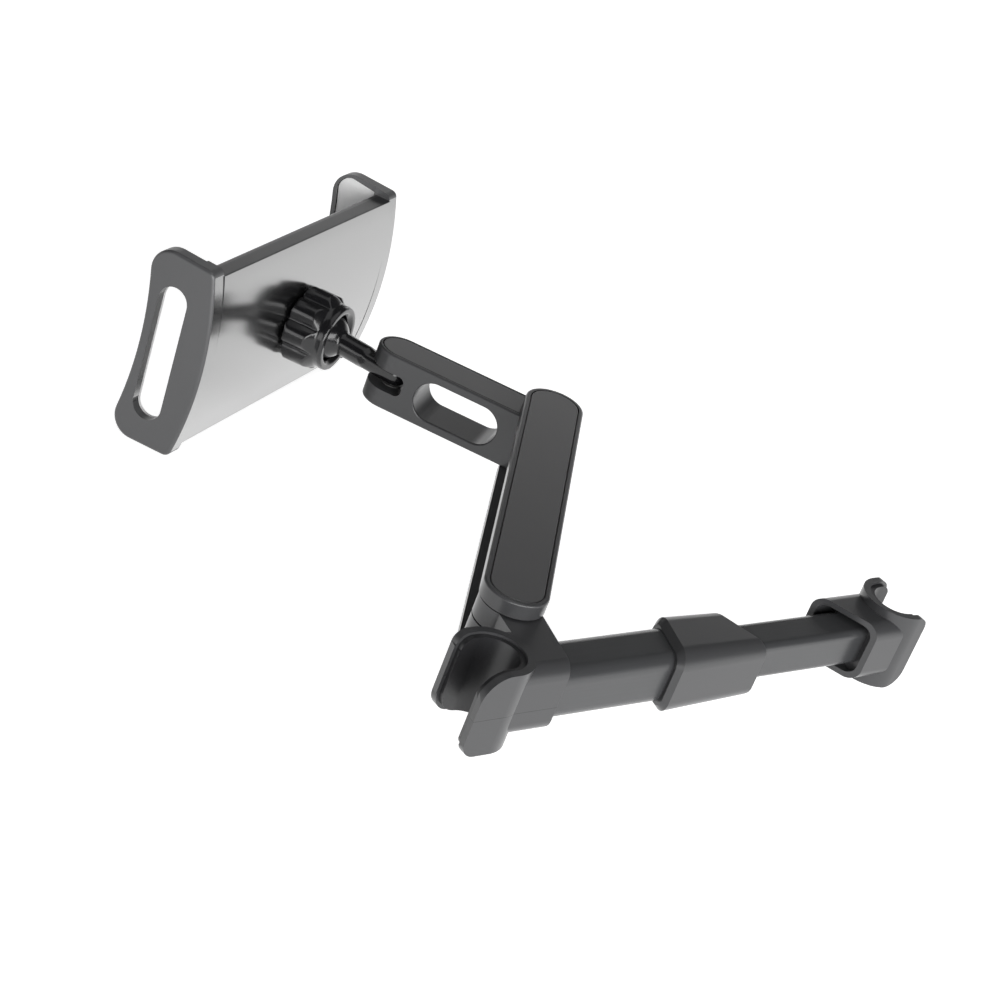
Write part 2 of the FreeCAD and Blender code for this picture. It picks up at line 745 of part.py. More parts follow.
# Long swing arm: an upper plate and a lower plate on two pins, each with an inlaid cover
arm_radius = arm_width / 2
upper_top = housing_top + washer_thickness + plate_thickness
lower_top = upper_top - plate_thickness - plate_gap


def stadium_pad(owner, name, level, height, reach, radius, reverse=False):
    outline = sketch_on(owner, "XY_Plane", level, name)
    add_stadium(outline, zero, reach, zero, radius)
    return pad(owner, outline, height, reverse)


def round_pad(owner, name, level, height, along, radius):
    outline = sketch_on(owner, "XY_Plane", level, name)
    add_circle(outline, along, zero, radius)
    return pad(owner, outline, height)


def round_cut(owner, name, level, depth, along, radius, reverse=False):
    outline = sketch_on(owner, "XY_Plane", level, name)
    add_circle(outline, along, zero, radius)
    return pocket(owner, outline, depth, reverse)


upper_plate = body("long_arm_upper_plate")
stadium_pad(upper_plate, "plate", upper_top - plate_thickness, plate_thickness, arm_pitch,
            arm_radius)
dress(upper_plate, "PartDesign::Fillet", "Radius", rim_round,
      at_height(upper_top.value))
inlay = sketch_on(upper_plate, "XY_Plane", upper_top, "inlay")
add_stadium(inlay, zero, arm_pitch, zero, arm_radius - cover_border)
pocket(upper_plate, inlay, cover_thickness)
for place, along in (("base", zero), ("elbow", arm_pitch)):
    round_cut(upper_plate, place, upper_top - plate_thickness, pin_seat, along, pin_radius, True)

lower_plate = body("long_arm_lower_plate")
stadium_pad(lower_plate, "plate", lower_top - plate_thickness, plate_thickness, arm_pitch,
            arm_radius)
dress(lower_plate, "PartDesign::Fillet", "Radius", rim_round,
      at_height((lower_top - plate_thickness).value))
boss_top = housing_top - knuckle_height - washer_thickness
round_pad(lower_plate, "boss", lower_top, boss_top - lower_top, zero, arm_radius - 0.3)
under = sketch_on(lower_plate, "XY_Plane", lower_top - plate_thickness, "inlay")
add_stadium(under, zero, arm_pitch, zero, arm_radius - cover_border)
pocket(lower_plate, under, cover_thickness, True)
round_cut(lower_plate, "base", boss_top, boss_top - lower_top + pin_seat, zero, pin_radius)
round_cut(lower_plate, "elbow", lower_top, pin_seat, arm_pitch, pin_radius)


def cover(label, level, reach, radius, rounded_level):
    made = body(label)
    stadium_pad(made, "cover", level, cover_thickness, reach, radius - cover_groove)
    dress(made, "PartDesign::Fillet", "Radius", cover_round, at_height(rounded_level))
    return made


cover_radius = arm_radius - cover_border
upper_cover = cover("long_arm_upper_cover", upper_top - cover_thickness, arm_pitch,
                    cover_radius, upper_top.value)
lower_cover = cover("long_arm_lower_cover", lower_top - plate_thickness, arm_pitch,
                    cover_radius, (lower_top - plate_thickness).value)


def pin(label, along, bottom, top):
    made = body(label)
    round_pad(made, "shank", bottom, top - bottom, along, pin_radius)
    return made


pin_top = upper_top - plate_thickness + pin_seat
pin_bottom = lower_top - pin_seat
base_pin = pin("base_pivot_pin", zero, pin_bottom, pin_top)
elbow_pin = pin("elbow_pivot_pin", arm_pitch, pin_bottom, pin_top)


def washer(label, along, level, radius, bore_radius, thickness):
    made = body(label)
    ring = sketch_on(made, "XY_Plane", level, "ring")
    add_circle(ring, along, zero, radius)
    add_circle(ring, along, zero, bore_radius)
    pad(made, ring, thickness)
    return made


base_upper_washer = washer("base_upper_washer", zero, housing_top, washer_radius,
                           pin_radius, washer_thickness)
base_lower_washer = washer("base_lower_washer", zero, boss_top, washer_radius, pin_radius,
                           washer_thickness)
elbow_upper_washer = washer("elbow_upper_washer", arm_pitch, housing_top, washer_radius,
                            pin_radius, washer_thickness)
elbow_lower_washer = washer("elbow_lower_washer", arm_pitch, lower_top, washer_radius,
                            pin_radius, washer_thickness)

# Short swing arm: one bar with a through window, two square recesses and a fork
short_top = housing_top
short_bottom = lower_top + washer_thickness
short_radius = short_arm_width / 2
short_height = short_top - short_bottom
short_middle = (short_top + short_bottom) / 2
short_arm = body("short_arm")
stadium_pad(short_arm, "bar", short_bottom, short_height, short_arm_pitch, short_radius)


def outer_rim(edge):
    box = edge.BoundBox
    level = abs(box.ZMin - box.ZMax) < 1e-4
    return level and (abs(box.ZMin - short_top.value) < 1e-4
                      or abs(box.ZMin - short_bottom.value) < 1e-4)


dress(short_arm, "PartDesign::Fillet", "Radius", rim_round, outer_rim)
window = sketch_on(short_arm, "XZ_Plane", zero, "window")
window_radius = window_height / 2
add_stadium(window, window_start + window_radius, window_end - window_radius, short_middle,
            window_radius)
pocket(short_arm, window, short_arm_width * 2, middle=True)


def rim_of_window(edge):
    box = edge.BoundBox
    flat = abs(box.YMin - box.YMax) < 1e-4
    beside = abs(abs(box.YMin) - short_radius.value) < 1e-4
    within = box.XMin > window_start.value - 0.1 and box.XMax < window_end.value + 0.1
    tall = box.ZMax < short_top.value - 1.5 and box.ZMin > short_bottom.value + 1.5
    return flat and beside and within and tall


dress(short_arm, "PartDesign::Fillet", "Radius", window_round, rim_of_window)
fork = sketch_on(short_arm, "XZ_Plane", zero, "fork")
fork_end = short_arm_pitch + short_arm_width
add_outline(fork, (fork_start + fork_end) / 2, short_middle, fork_end - fork_start, fork_height,
            fork_round)
pocket(short_arm, fork, short_arm_width * 2, middle=True)
squares = sketch_on(short_arm, "XZ_Plane", short_radius, "squares")
for shift in (-0.5, 0.5):
    middle_up = short_middle + square_apart * shift
    half = square_hole / 2
    corners = [(square_along - half, middle_up - half), (square_along + half, middle_up - half)]
    corners += [(square_along + half, middle_up + half), (square_along - half, middle_up + half)]
    add_polygon(squares, corners)
pocket(short_arm, squares, square_depth)
short_inlay = sketch_on(short_arm, "XY_Plane", short_top, "inlay")
short_cover_radius = short_radius - cover_border * 0.7
add_stadium(short_inlay, zero, short_arm_pitch, zero, short_cover_radius)
pocket(short_arm, short_inlay, cover_thickness)
short_under = sketch_on(short_arm, "XY_Plane", short_bottom, "under_inlay")
add_stadium(short_under, zero, short_arm_pitch, zero, short_cover_radius)
pocket(short_arm, short_under, cover_thickness, True)
round_cut(short_arm, "elbow", short_top + 1, short_height + 2, zero, pin_radius + pin_play)
fork_pin_length = fork_height + pin_seat * 2
round_cut(short_arm, "fork_pin", short_middle + fork_pin_length / 2, fork_pin_length,
          short_arm_pitch, fork_pin_radius)


def short_cover(label, level, rounded_level):
    made = body(label)
    stadium_pad(made, "cover", level, cover_thickness, short_arm_pitch,
                short_cover_radius - cover_groove)
    dress(made, "PartDesign::Fillet", "Radius", cover_round, at_height(rounded_level))
    round_cut(made, "pin", level + cover_thickness + 1, cover_thickness + 2, zero,
              pin_radius + pin_play)
    return made


short_upper_cover = short_cover("short_arm_upper_cover", short_top - cover_thickness,
                                short_top.value)
short_lower_cover = short_cover("short_arm_lower_cover", short_bottom, short_bottom.value)

fork_pin = body("fork_pivot_pin")
round_pad(fork_pin, "shank", short_middle - fork_pin_length / 2, fork_pin_length,
          short_arm_pitch, fork_pin_radius)
washer_seat = fork_height / 2 - fork_washer
fork_upper_washer = washer("fork_upper_washer", short_arm_pitch, short_middle + washer_seat,
                           fork_washer_radius, fork_pin_radius, fork_washer)
fork_lower_washer = washer("fork_lower_washer", short_arm_pitch,
                           short_middle - fork_height / 2, fork_washer_radius,
                           fork_pin_radius, fork_washer)

# Ball stem, about its own X axis: a flat eye in the fork, a round rod and the ball
stem = body("ball_stem")
eye = sketch_on(stem, "XY_Plane", -eye_thickness / 2, "eye")
add_stadium(eye, zero, eye_reach, zero, eye_radius)
pad(stem, eye, eye_thickness)
for level in (eye_thickness / 2, -eye_thickness / 2):
    dress(stem, "PartDesign::Fillet", "Radius", eye_round, at_height(level.value))
rod_shape = sketch_on(stem, "XZ_Plane", zero, "rod")
rod_start = eye_reach - 1.5
neck_meet = stem_length - leg(ball_radius, stem_radius)
rod_chain = [(rod_start, zero, None), (stem_length + ball_radius, zero, ball_radius)]
rod_chain += [(neck_meet, stem_radius, None), (rod_start + rod_blend, stem_radius, None)]
rod_chain.append((rod_start, eye_thickness / 2, None))
add_chain(rod_shape, rod_chain)
turn(stem, "PartDesign::Revolution", rod_shape, "H_Axis")
round_cut(stem, "eye_bore", eye_thickness, eye_thickness * 2, zero,
          fork_pin_radius + pin_play)

# Ball joint, about its own Y axis: a cap shaped liner, a threaded cup and the lobed nut
liner = body("ball_liner")
liner_shape = sketch_on(liner, "XY_Plane", zero, "shape")
liner_inner = ball_radius + ball_play
liner_chain = [(leg(liner_inner, seat_lip), seat_lip, None)]
liner_chain.append((leg(seat_radius, seat_lip), seat_lip, seat_radius))
liner_chain.append((zero, seat_radius, None))
liner_chain.append((zero, liner_inner, -liner_inner))
add_chain(liner_shape, liner_chain)
turn(liner, "PartDesign::Revolution", liner_shape, "V_Axis")

cup = body("socket_cup")
cup_shape = sketch_on(cup, "XY_Plane", zero, "shape")
recess = seat_radius + ball_play
head_start = back_apex + shell_wall + 0.3
cup_chain = [(leg(recess, cup_front), cup_front, None), (cup_radius, cup_front, None)]
cup_chain += [(cup_radius, cup_back, None), (stud_radius, cup_back, None)]
cup_chain += [(stud_radius, head_start, None), (stud_head, head_start, None)]
cup_chain += [(stud_head, head_start + 1.1, None), (zero, head_start + 1.1, None)]
cup_chain.append((zero, recess, -recess))
add_chain(cup_shape, cup_chain)
turn(cup, "PartDesign::Revolution", cup_shape, "V_Axis")

nut = body("knob_nut")
nut_shape = sketch_on(nut, "XY_Plane", zero, "shape")
cavity = cup_radius + knob_play
nut_corners = [(knob_mouth, -knob_front), (knob_rim, -knob_front)]
nut_corners += [(knob_body, 1.6 - knob_front), (knob_body, knob_back), (cavity, knob_back)]
nut_corners += [(cavity, 2.2 - knob_front), (knob_throat, 1.8 - knob_front)]
nut_corners.append((knob_throat, 1.4 - knob_front))
add_polygon(nut_shape, nut_corners)
turn(nut, "PartDesign::Revolution", nut_shape, "V_Axis")


def tip_of(owner, feature):
    owner.Tip = feature
    doc.recompute()


lobe = sketch_on(nut, "XZ_Plane", -knob_back, "lobe")
add_circle(lobe, lobe_circle, zero, lobe_radius)
lobe_pad = pad(nut, lobe, lobe_length)
ring = nut.newObject("PartDesign::PolarPattern", "knob_nut_lobes")
ring.Originals = [lobe_pad]
ring.Axis = (lobe, ["N_Axis"])
ring.Angle = 360
ring.Occurrences = 8
tip_of(nut, ring)
bore = sketch_on(nut, "XZ_Plane", -knob_back - 1, "cavity")
add_circle(bore, zero, zero, cavity)
pocket(nut, bore, knob_back + knob_front - 1.2, reverse=True)
bevel = sketch_on(nut, "XY_Plane", zero, "lobe_bevel")
lobe_reach = lobe_circle + lobe_radius
bevel_corners = [(knob_body - 0.2, -4), (lobe_reach + 2, -4), (lobe_reach + 2, zero + 3.4)]
bevel_corners.append((knob_body - 0.2, zero - 2.0))
add_polygon(bevel, bevel_corners)
turn(nut, "PartDesign::Groove", bevel, "V_Axis")
rear = sketch_on(nut, "XY_Plane", zero, "rear_bevel")
rear_corners = [(lobe_reach - 1.4, knob_back + 0.5), (lobe_reach + 1, knob_back - 1.9)]
rear_corners.append((lobe_reach + 1, knob_back + 0.5))
add_polygon(rear, rear_corners)
turn(nut, "PartDesign::Groove", rear, "V_Axis")

# Tablet holder: back shell, front cover with the gear axle, gear, screws and soft pad
half_height = body_height / 2
bow_sag = back_edge - back_apex
bow_radius = (half_height * half_height + bow_sag * bow_sag) / (bow_sag * 2)
cover_back = front_face - front_wall


def bowed_section(owner, name, inset, start, length):
    """Section with the bowed back, drawn across the holder's width."""
    outline = sketch_on(owner, "YZ_Plane", start, name)
    bend = bow_radius - inset
    rise = half_height - inset
    edge = back_apex + bow_radius - leg(bend, rise)
    chain = [(edge, rise, bend), (edge, -rise, None), (cover_back + inset, -rise, None)]
    chain.append((cover_back + inset, rise, None))
    add_chain(outline, chain)
    return outline


back_shell = body("holder_back")
outside = bowed_section(back_shell, "outside", zero, -body_half, body_half)
pad(back_shell, outside, body_half * 2)
hollow_part = bowed_section(back_shell, "inside", shell_wall, shell_wall - body_half, body_half)
pocket(back_shell, hollow_part, (body_half - shell_wall) * 2, reverse=True)
shelf_low = rack_root + 0.05
shelf_high = rack_top + 2.3
guide = rack_top + 0.3
for side in (1, -1):
    shelf = sketch_on(back_shell, "YZ_Plane", 1 - body_half, "shelf%d" % (side + 1))
    corners = [(back_apex + 1, shelf_low * side), (rack_back - 0.3, shelf_low * side)]
    corners += [(rack_back - 0.3, guide * side), (cover_back, guide * side)]
    corners += [(cover_back, shelf_high * side), (back_apex + 1, shelf_high * side)]
    add_polygon(shelf, corners)
    pad(back_shell, shelf, body_half * 2 - 2)
for across in (1, -1):
    for up in (1, -1):
        name = "boss%d%d" % (across + 1, up + 1)
        boss = sketch_on(back_shell, "XZ_Plane", -cover_back, name)
        add_circle(boss, screw_across * across, screw_up * up, screw_head + 0.6)
        pad(back_shell, boss, cover_back - back_apex - 2)
        hole = sketch_on(back_shell, "XZ_Plane", -cover_back, name + "_hole")
        add_circle(hole, screw_across * across, screw_up * up, screw_radius)
        pocket(back_shell, hole, cover_back - back_apex - 3, reverse=True)
for side in (1, -1):
    door = sketch_on(back_shell, "YZ_Plane", zero, "door%d" % (side + 1))
    low = (rack_root - 0.3) * side
    high = (rack_top + 0.3) * side
    corners = [(rack_back - 0.3, low), (cover_back + 1, low), (cover_back + 1, high)]
    corners.append((rack_back - 0.3, high))
    add_polygon(door, corners)
    pocket(back_shell, door, body_half + 1, reverse=(side < 0))
stud_hole = sketch_on(back_shell, "XZ_Plane", -rack_back, "stud_hole")
add_circle(stud_hole, zero, zero, stud_radius + pin_play)
pocket(back_shell, stud_hole, rack_back, reverse=True)

front = body("holder_front")
plate = sketch_on(front, "YZ_Plane", -body_half, "plate")
add_polygon(plate, [(cover_back, -half_height), (front_face, -half_height),
                    (front_face, half_height), (cover_back, half_height)])
pad(front, plate, body_half * 2)


def front_rim(edge):
    box = edge.BoundBox
    along = box.XMax - box.XMin > 50
    return along and abs(box.YMin - front_face.value) < 1e-4


dress(front, "PartDesign::Fillet", "Radius", front_round, front_rim)
axle = sketch_on(front, "XZ_Plane", -cover_back, "axle")
add_circle(axle, zero, zero, axle_radius)
pad(front, axle, cover_back - rack_back - 0.1)
for across in (1, -1):
    for up in (1, -1):
        name = "hole%d%d" % (across + 1, up + 1)
        hole = sketch_on(front, "XZ_Plane", -front_face - 1, name)
        add_circle(hole, screw_across * across, screw_up * up, screw_radius)
        pocket(front, hole, front_wall + 2, reverse=True)
        sink = sketch_on(front, "XZ_Plane", -front_face - 1, name + "_sink")
        add_circle(sink, screw_across * across, screw_up * up, screw_head)
        pocket(front, sink, screw_sink + 1, reverse=True)

screws = []
for across in (1, -1):
    for up in (1, -1):
        screw = body("screw%d%d" % (across + 1, up + 1))
        head = sketch_on(screw, "XZ_Plane", screw_sink - front_face - screw_head_height, "head")
        add_circle(head, screw_across * across, screw_up * up, screw_head)
        pad(screw, head, screw_head_height)
        shank = sketch_on(screw, "XZ_Plane", screw_sink - front_face, "shank")
        add_circle(shank, screw_across * across, screw_up * up, screw_radius)
        pad(screw, shank, front_face - screw_sink - back_apex - 3.2)
        screws.append(screw)

front_pad = body("holder_front_pad")
pad_shape = sketch_on(front_pad, "XZ_Plane", -front_face - front_pad_sheet, "shape")
add_outline(pad_shape, zero, zero, front_pad_width, front_pad_height, front_pad_round)
pad(front_pad, pad_shape, front_pad_sheet)

gear = body("sync_pinion")
disc = sketch_on(gear, "XZ_Plane", -rack_back - rack_thickness, "disc")
add_circle(disc, zero, zero, gear_root)
pad(gear, disc, rack_thickness)
tooth = sketch_on(gear, "XZ_Plane", -rack_back - rack_thickness, "tooth")
add_polygon(tooth, [(-tooth_foot / 2, gear_root - 0.5), (tooth_foot / 2, gear_root - 0.5),
                    (tooth_crest / 2, gear_tip), (-tooth_crest / 2, gear_tip)])
tooth_pad = pad(gear, tooth, rack_thickness)
teeth = gear.newObject("PartDesign::PolarPattern", "sync_pinion_teeth")
teeth.Originals = [tooth_pad]
teeth.Axis = (tooth, ["N_Axis"])
teeth.Angle = 360
teeth.Occurrences = 12
tip_of(gear, teeth)
gear_bore = sketch_on(gear, "XZ_Plane", -rack_back - rack_thickness - 1, "bore")
add_circle(gear_bore, zero, zero, axle_radius + pin_play)
pocket(gear, gear_bore, rack_thickness + 2, reverse=True)


# Jaws: a bowed wall with a rim, a slot, a block at the holder's end and a toothed rack
def top_at(along):
    slope = (jaw_top - jaw_shoulder) / (jaw_top_reach - jaw_heel)
    return jaw_shoulder + slope * (along - jaw_heel)


def jaw_corners(start, inset):
    """The jaw's wall from the side, from start to the tips, moved in all round by inset."""
    chain = [(start, inset - jaw_bottom, None)]
    chain.append((jaw_low_reach - inset, inset - jaw_bottom, -(jaw_front_bow + inset)))
    chain.append((jaw_top_reach - inset, jaw_top - inset, None))
    chain.append((start, top_at(start) - inset, None))
    return chain


def round_jaw_corners(start, inset, bend):
    """The same outline with its two tips rounded by arcs of the radius bend."""
    low = inset - jaw_bottom
    high = jaw_top - inset
    bow = jaw_front_bow + inset
    shift = bend * (high - low - bend) / (bow * 2)
    low_reach = jaw_low_reach - inset - shift
    high_reach = jaw_top_reach - inset - shift
    chain = [(start, low, None), (low_reach - bend, low, bend), (low_reach, low + bend, -bow)]
    chain += [(high_reach, high - bend, bend), (high_reach - bend, high, None)]
    chain.append((start, top_at(start) - inset, None))
    return chain


def corner_edges(spots):
    """Edges along X whose ends lie at one of the given places seen from the side."""
    def test(edge):
        box = edge.BoundBox
        if box.YMax - box.YMin > 1e-3 or box.ZMax - box.ZMin > 1e-3:
            return False
        for spot in spots:
            if abs(box.YMin - plain(spot[0])) < 0.01 and abs(box.ZMin - plain(spot[1])) < 0.01:
                return True
        return False
    return test


def at_side(level):
    def test(edge):
        box = edge.BoundBox
        return abs(box.XMin - level) < 1e-4 and abs(box.XMax - level) < 1e-4
    return test


jaw_inside = body_half + jaw_block
jaw_outside = jaw_inside + jaw_wall


def slot_cut(owner, name, start, side):
    gap = sketch_on(owner, "YZ_Plane", start, name)
    reach = jaw_slot_height / 2 - jaw_slot_width / 2
    add_stadium(gap, jaw_slot_lift - reach, jaw_slot_lift + reach, jaw_slot_back,
                jaw_slot_width / 2, upright=True)
    pocket(owner, gap, jaw_outside, reverse=(side > 0))


def jaw(label, side):
    made = body(label)
    block = sketch_on(made, "YZ_Plane", body_half * side, "block")
    block_chain = [(jaw_heel, -jaw_bottom, None), (front_face, -jaw_bottom, None)]
    block_chain.append((front_face, top_at(front_face), None))
    block_chain.append((jaw_heel, jaw_shoulder, jaw_back_bow))
    add_chain(block, block_chain)
    pad(made, block, jaw_block + jaw_wall, reverse=(side < 0))
    dress(made, "PartDesign::Fillet", "Radius", jaw_low_round, corner_edges(block_chain[0:1]))
    dress(made, "PartDesign::Fillet", "Radius", jaw_high_round, corner_edges(block_chain[3:4]))
    wall = sketch_on(made, "YZ_Plane", (jaw_inside - jaw_rim) * side, "wall")
    chain = jaw_corners(front_face - 1, zero)
    add_chain(wall, chain)
    pad(made, wall, jaw_wall + jaw_rim, reverse=(side < 0))
    dress(made, "PartDesign::Fillet", "Radius", jaw_tip_round, corner_edges(chain[1:3]))
    dress(made, "PartDesign::Fillet", "Radius", jaw_edge_round,
          at_side(jaw_outside.value * side))
    well = sketch_on(made, "YZ_Plane", (jaw_inside - jaw_rim) * side, "well")
    add_chain(well, round_jaw_corners(front_face, jaw_border, jaw_tip_round - jaw_border))
    pocket(made, well, jaw_rim, reverse=(side > 0))
    slot_cut(made, "slot", (jaw_inside - jaw_rim - 1) * side, side)
    bar = sketch_on(made, "YZ_Plane", -rack_reach * side, "rack")
    rise = -side
    add_polygon(bar, [(rack_back, rack_root * rise), (rack_back + rack_thickness,
                                                      rack_root * rise),
                      (rack_back + rack_thickness, rack_top * rise),
                      (rack_back, rack_top * rise)])
    pad(made, bar, rack_reach + body_half + 1, reverse=(side < 0))
    one = sketch_on(made, "XZ_Plane", -rack_back - rack_thickness, "tooth")
    middle = tooth_pitch * (-10.5 * side)
    add_polygon(one, [(middle - tooth_foot / 2, (rack_root + 0.3) * rise),
                      (middle + tooth_foot / 2, (rack_root + 0.3) * rise),
                      (middle + tooth_crest / 2, tooth_tip * rise),
                      (middle - tooth_crest / 2, tooth_tip * rise)])
    one_pad = pad(made, one, rack_thickness)
    row = made.newObject("PartDesign::LinearPattern", label + "_teeth")
    row.Originals = [one_pad]
    row.Direction = (one, ["H_Axis"])
    row.Reversed = side < 0
    bind(row, "Length", tooth_pitch * 12)
    row.Occurrences = 13
    tip_of(made, row)
    return made


def jaw_pad(label, side):
    made = body(label)
    sheet_shape = sketch_on(made, "YZ_Plane", jaw_inside * side, "shape")
    inset = jaw_border + pad_play
    add_chain(sheet_shape, round_jaw_corners(front_face + pad_play, inset,
                                             jaw_tip_round - inset))
    pad(made, sheet_shape, pad_thickness, reverse=(side > 0))
    slot_cut(made, "slot", (jaw_inside - jaw_rim - 1) * side, side)
    return made


left_jaw = jaw("left_jaw", -1)
right_jaw = jaw("right_jaw", 1)
left_jaw_pad = jaw_pad("left_jaw_pad", -1)
right_jaw_pad = jaw_pad("right_jaw_pad", 1)

# Everything to its place in the common frame
half_turn = Size("180", 180.0)
put(right_clamp, post_spacing, zero, zero, half_turn)
put(right_liner, post_spacing, zero, zero, half_turn)
elbow_across = pivot_along + arm_pitch * cosine(lower_arm_angle)
elbow_back = pivot_back + arm_pitch * sine(lower_arm_angle)
fork_across = elbow_across + short_arm_pitch * cosine(short_arm_angle)
fork_back = elbow_back + short_arm_pitch * sine(short_arm_angle)
ball_across = fork_across + stem_length * cosine(stem_angle)
ball_back = fork_back + stem_length * sine(stem_angle)
for made in (upper_plate, lower_plate, upper_cover, lower_cover, base_pin, elbow_pin,
             base_upper_washer, base_lower_washer, elbow_upper_washer, elbow_lower_washer):
    put(made, pivot_along, pivot_back, zero, lower_arm_angle)
for made in (short_arm, short_upper_cover, short_lower_cover, fork_pin, fork_upper_washer,
             fork_lower_washer):
    put(made, elbow_across, elbow_back, zero, short_arm_angle)
put(stem, fork_across, fork_back, short_middle, stem_angle)
for made in [liner, cup, nut, back_shell, front, front_pad, gear, left_jaw, right_jaw,
             left_jaw_pad, right_jaw_pad] + screws:
    put(made, ball_across, ball_back, short_middle, holder_angle, holder_tip)
grouped("pivot_washers", [base_upper_washer, base_lower_washer, elbow_upper_washer,
                          elbow_lower_washer])
grouped("fork_washers", [fork_upper_washer, fork_lower_washer])
grouped("holder_screws", screws)


# Checks and files
def check_and_write():
    doc.recompute()
    for item in doc.Objects:
        if "Invalid" in item.State or "Error" in item.State:
            raise RuntimeError("failed: " + item.Name)
    for made in pieces:
        shape = made.Shape
        if shape.isNull() or not shape.isValid():
            raise RuntimeError("bad shape: " + made.Label)
        shape.exportStep("parts/" + made.Label + ".step")
        box = shape.BoundBox
        note = (made.Label, len(shape.Solids), len(shape.Faces), shape.Volume / 1000)
        print("%-24s solids %d faces %3d volume %8.3f cm3" % note, box)


check_and_write()
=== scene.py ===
"""Looks of a headrest tablet mount: two headrest claws on a sliding bar, a long
and a short folding arm, a ball joint with its knob, and a spring tablet holder.
Sizes are in metres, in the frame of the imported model."""

import math

import bmesh
import bpy
from mathutils import Matrix, Vector


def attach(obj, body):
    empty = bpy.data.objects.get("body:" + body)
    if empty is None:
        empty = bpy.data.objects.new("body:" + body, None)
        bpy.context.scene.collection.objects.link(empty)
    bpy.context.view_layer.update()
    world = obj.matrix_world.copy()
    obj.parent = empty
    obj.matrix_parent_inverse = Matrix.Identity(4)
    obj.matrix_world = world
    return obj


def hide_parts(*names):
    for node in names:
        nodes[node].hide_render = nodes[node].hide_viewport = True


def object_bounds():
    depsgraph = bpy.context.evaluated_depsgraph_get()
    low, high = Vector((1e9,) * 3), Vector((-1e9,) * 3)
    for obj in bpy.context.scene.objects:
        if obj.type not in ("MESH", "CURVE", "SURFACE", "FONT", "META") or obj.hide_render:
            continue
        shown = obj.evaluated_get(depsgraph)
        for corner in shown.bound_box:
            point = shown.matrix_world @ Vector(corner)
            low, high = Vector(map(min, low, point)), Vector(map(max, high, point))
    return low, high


bl_info = {
    "name": "Headrest tablet mount",
    "version": (1, 0, 0),
    "blender": (4, 5, 0),
    "location": "3D View > Sidebar > Tablet mount",
    "description": "Finishes, screws and studio for a headrest tablet mount",
    "category": "Object",
}

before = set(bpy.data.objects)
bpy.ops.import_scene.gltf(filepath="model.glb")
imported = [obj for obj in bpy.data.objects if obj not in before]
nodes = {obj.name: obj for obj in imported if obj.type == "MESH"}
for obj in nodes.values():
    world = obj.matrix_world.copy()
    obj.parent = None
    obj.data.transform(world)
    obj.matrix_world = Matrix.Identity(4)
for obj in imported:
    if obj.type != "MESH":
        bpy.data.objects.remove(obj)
cad_low, cad_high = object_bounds()

MM = 0.001
FLOAT = "NodeSocketFloat"
VECTOR = "NodeSocketVector"

CLAMP_NODES = ("clamp_housing",)
SATIN_NODES = (
    "right_clamp",
    "bar_sleeve",
    "long_arm_upper_plate",
    "long_arm_lower_plate",
    "short_arm",
    "holder_front",
)
COVER_NODES = (
    "long_arm_upper_cover",
    "long_arm_lower_cover",
    "short_arm_upper_cover",
    "short_arm_lower_cover",
)
RUBBER_NODES = ("left_claw_liner", "right_claw_liner")
TUBE_NODES = ("outer_tube", "inner_tube")
GLOSS_NODES = ("socket_cup",)
BACK_NODES = ("holder_back",)
JAW_NODES = ("left_jaw", "right_jaw")
PAD_NODES = ("left_jaw_pad", "right_jaw_pad", "holder_front_pad")
STEEL_NODES = ("base_pivot_pin", "elbow_pivot_pin", "fork_pivot_pin")
NYLON_NODES = ("pivot_washers", "fork_washers", "ball_liner", "sync_pinion")

# Finishes that more than one step uses.
GLOSS_FINISH = "Polished black plastic"
BACK_FINISH = "Holder back plastic"
SCREW_FINISH = "Blackened steel"

GLOSS_COLOUR = (0.006, 0.006, 0.007)
STEEL_COLOUR = (0.46, 0.46, 0.47)
SCREW_COLOUR = (0.10, 0.10, 0.105)
NYLON_COLOUR = (0.07, 0.07, 0.07)
FLOOR_COLOUR = (0.80, 0.80, 0.80, 1.0)
WHITE = (1.0, 1.0, 1.0, 1.0)

# How far fine lines are drawn out: along the bar, and along the upright pins.
ALONG_BAR = (0.02, 1.0, 1.0)
ALONG_PINS = (1.0, 1.0, 0.03)
LINES_PER_METRE = 2500.0

# Width of a moulded grain in metres, its depth in mm, and its change of tone.
GRAIN_SIZE = 0.00025
GRAIN_DEPTH_MM = 0.0003
TONE_CHANGE = 0.015

# Uneven tone and gloss of moulded faces.
PATCHES_PER_METRE = 38.0
SMEARS_PER_METRE = 120.0
GLOSS_CHANGE = 0.006
# Covers are rougher and finer grained than the arms, rubber is coarser.
COVER_ROUGHER = 0.04
COVER_GRAIN = 0.8
RUBBER_GRAIN = 1.2

# Values between which each tone or mask fades, and the shades of drawn lines.
PATCH_FADES = (0.3, 0.7)
SPECK_FADES = (0.35, 0.65)
SMEAR_FADES = (0.35, 0.7)
LINE_FADES = (0.3, 0.7)
LINE_SHADES = (0.98, 1.02)
FACING_FADES = (0.93, 0.985)
PARTING_FADES = (0.2, 0.6)

# Parting line of the clamp's mould: level, width, shade, and depth in grains.
PARTING_LEVEL = -0.001
PARTING_WIDTH = 0.0003
PARTING_SHADE = 0.7
PARTING_DEPTH = 60.0

# The holder's back mirrors: coat that it adds to that of the satin sides, how much
# darker it is under the coat, and how much rougher the sides are.
BACK_COAT = 0.96
SIDE_COAT = 0.04
BACK_SHADE = 0.85
SIDE_ROUGHER = 0.16

# Copies with soft edges.
MERGE_DISTANCE = 0.002 * MM
VOXEL_SIZE = 0.35 * MM
SMOOTH_FACTOR = 0.5
STEM_ROUNDS = 26
KNOB_ROUNDS = 5

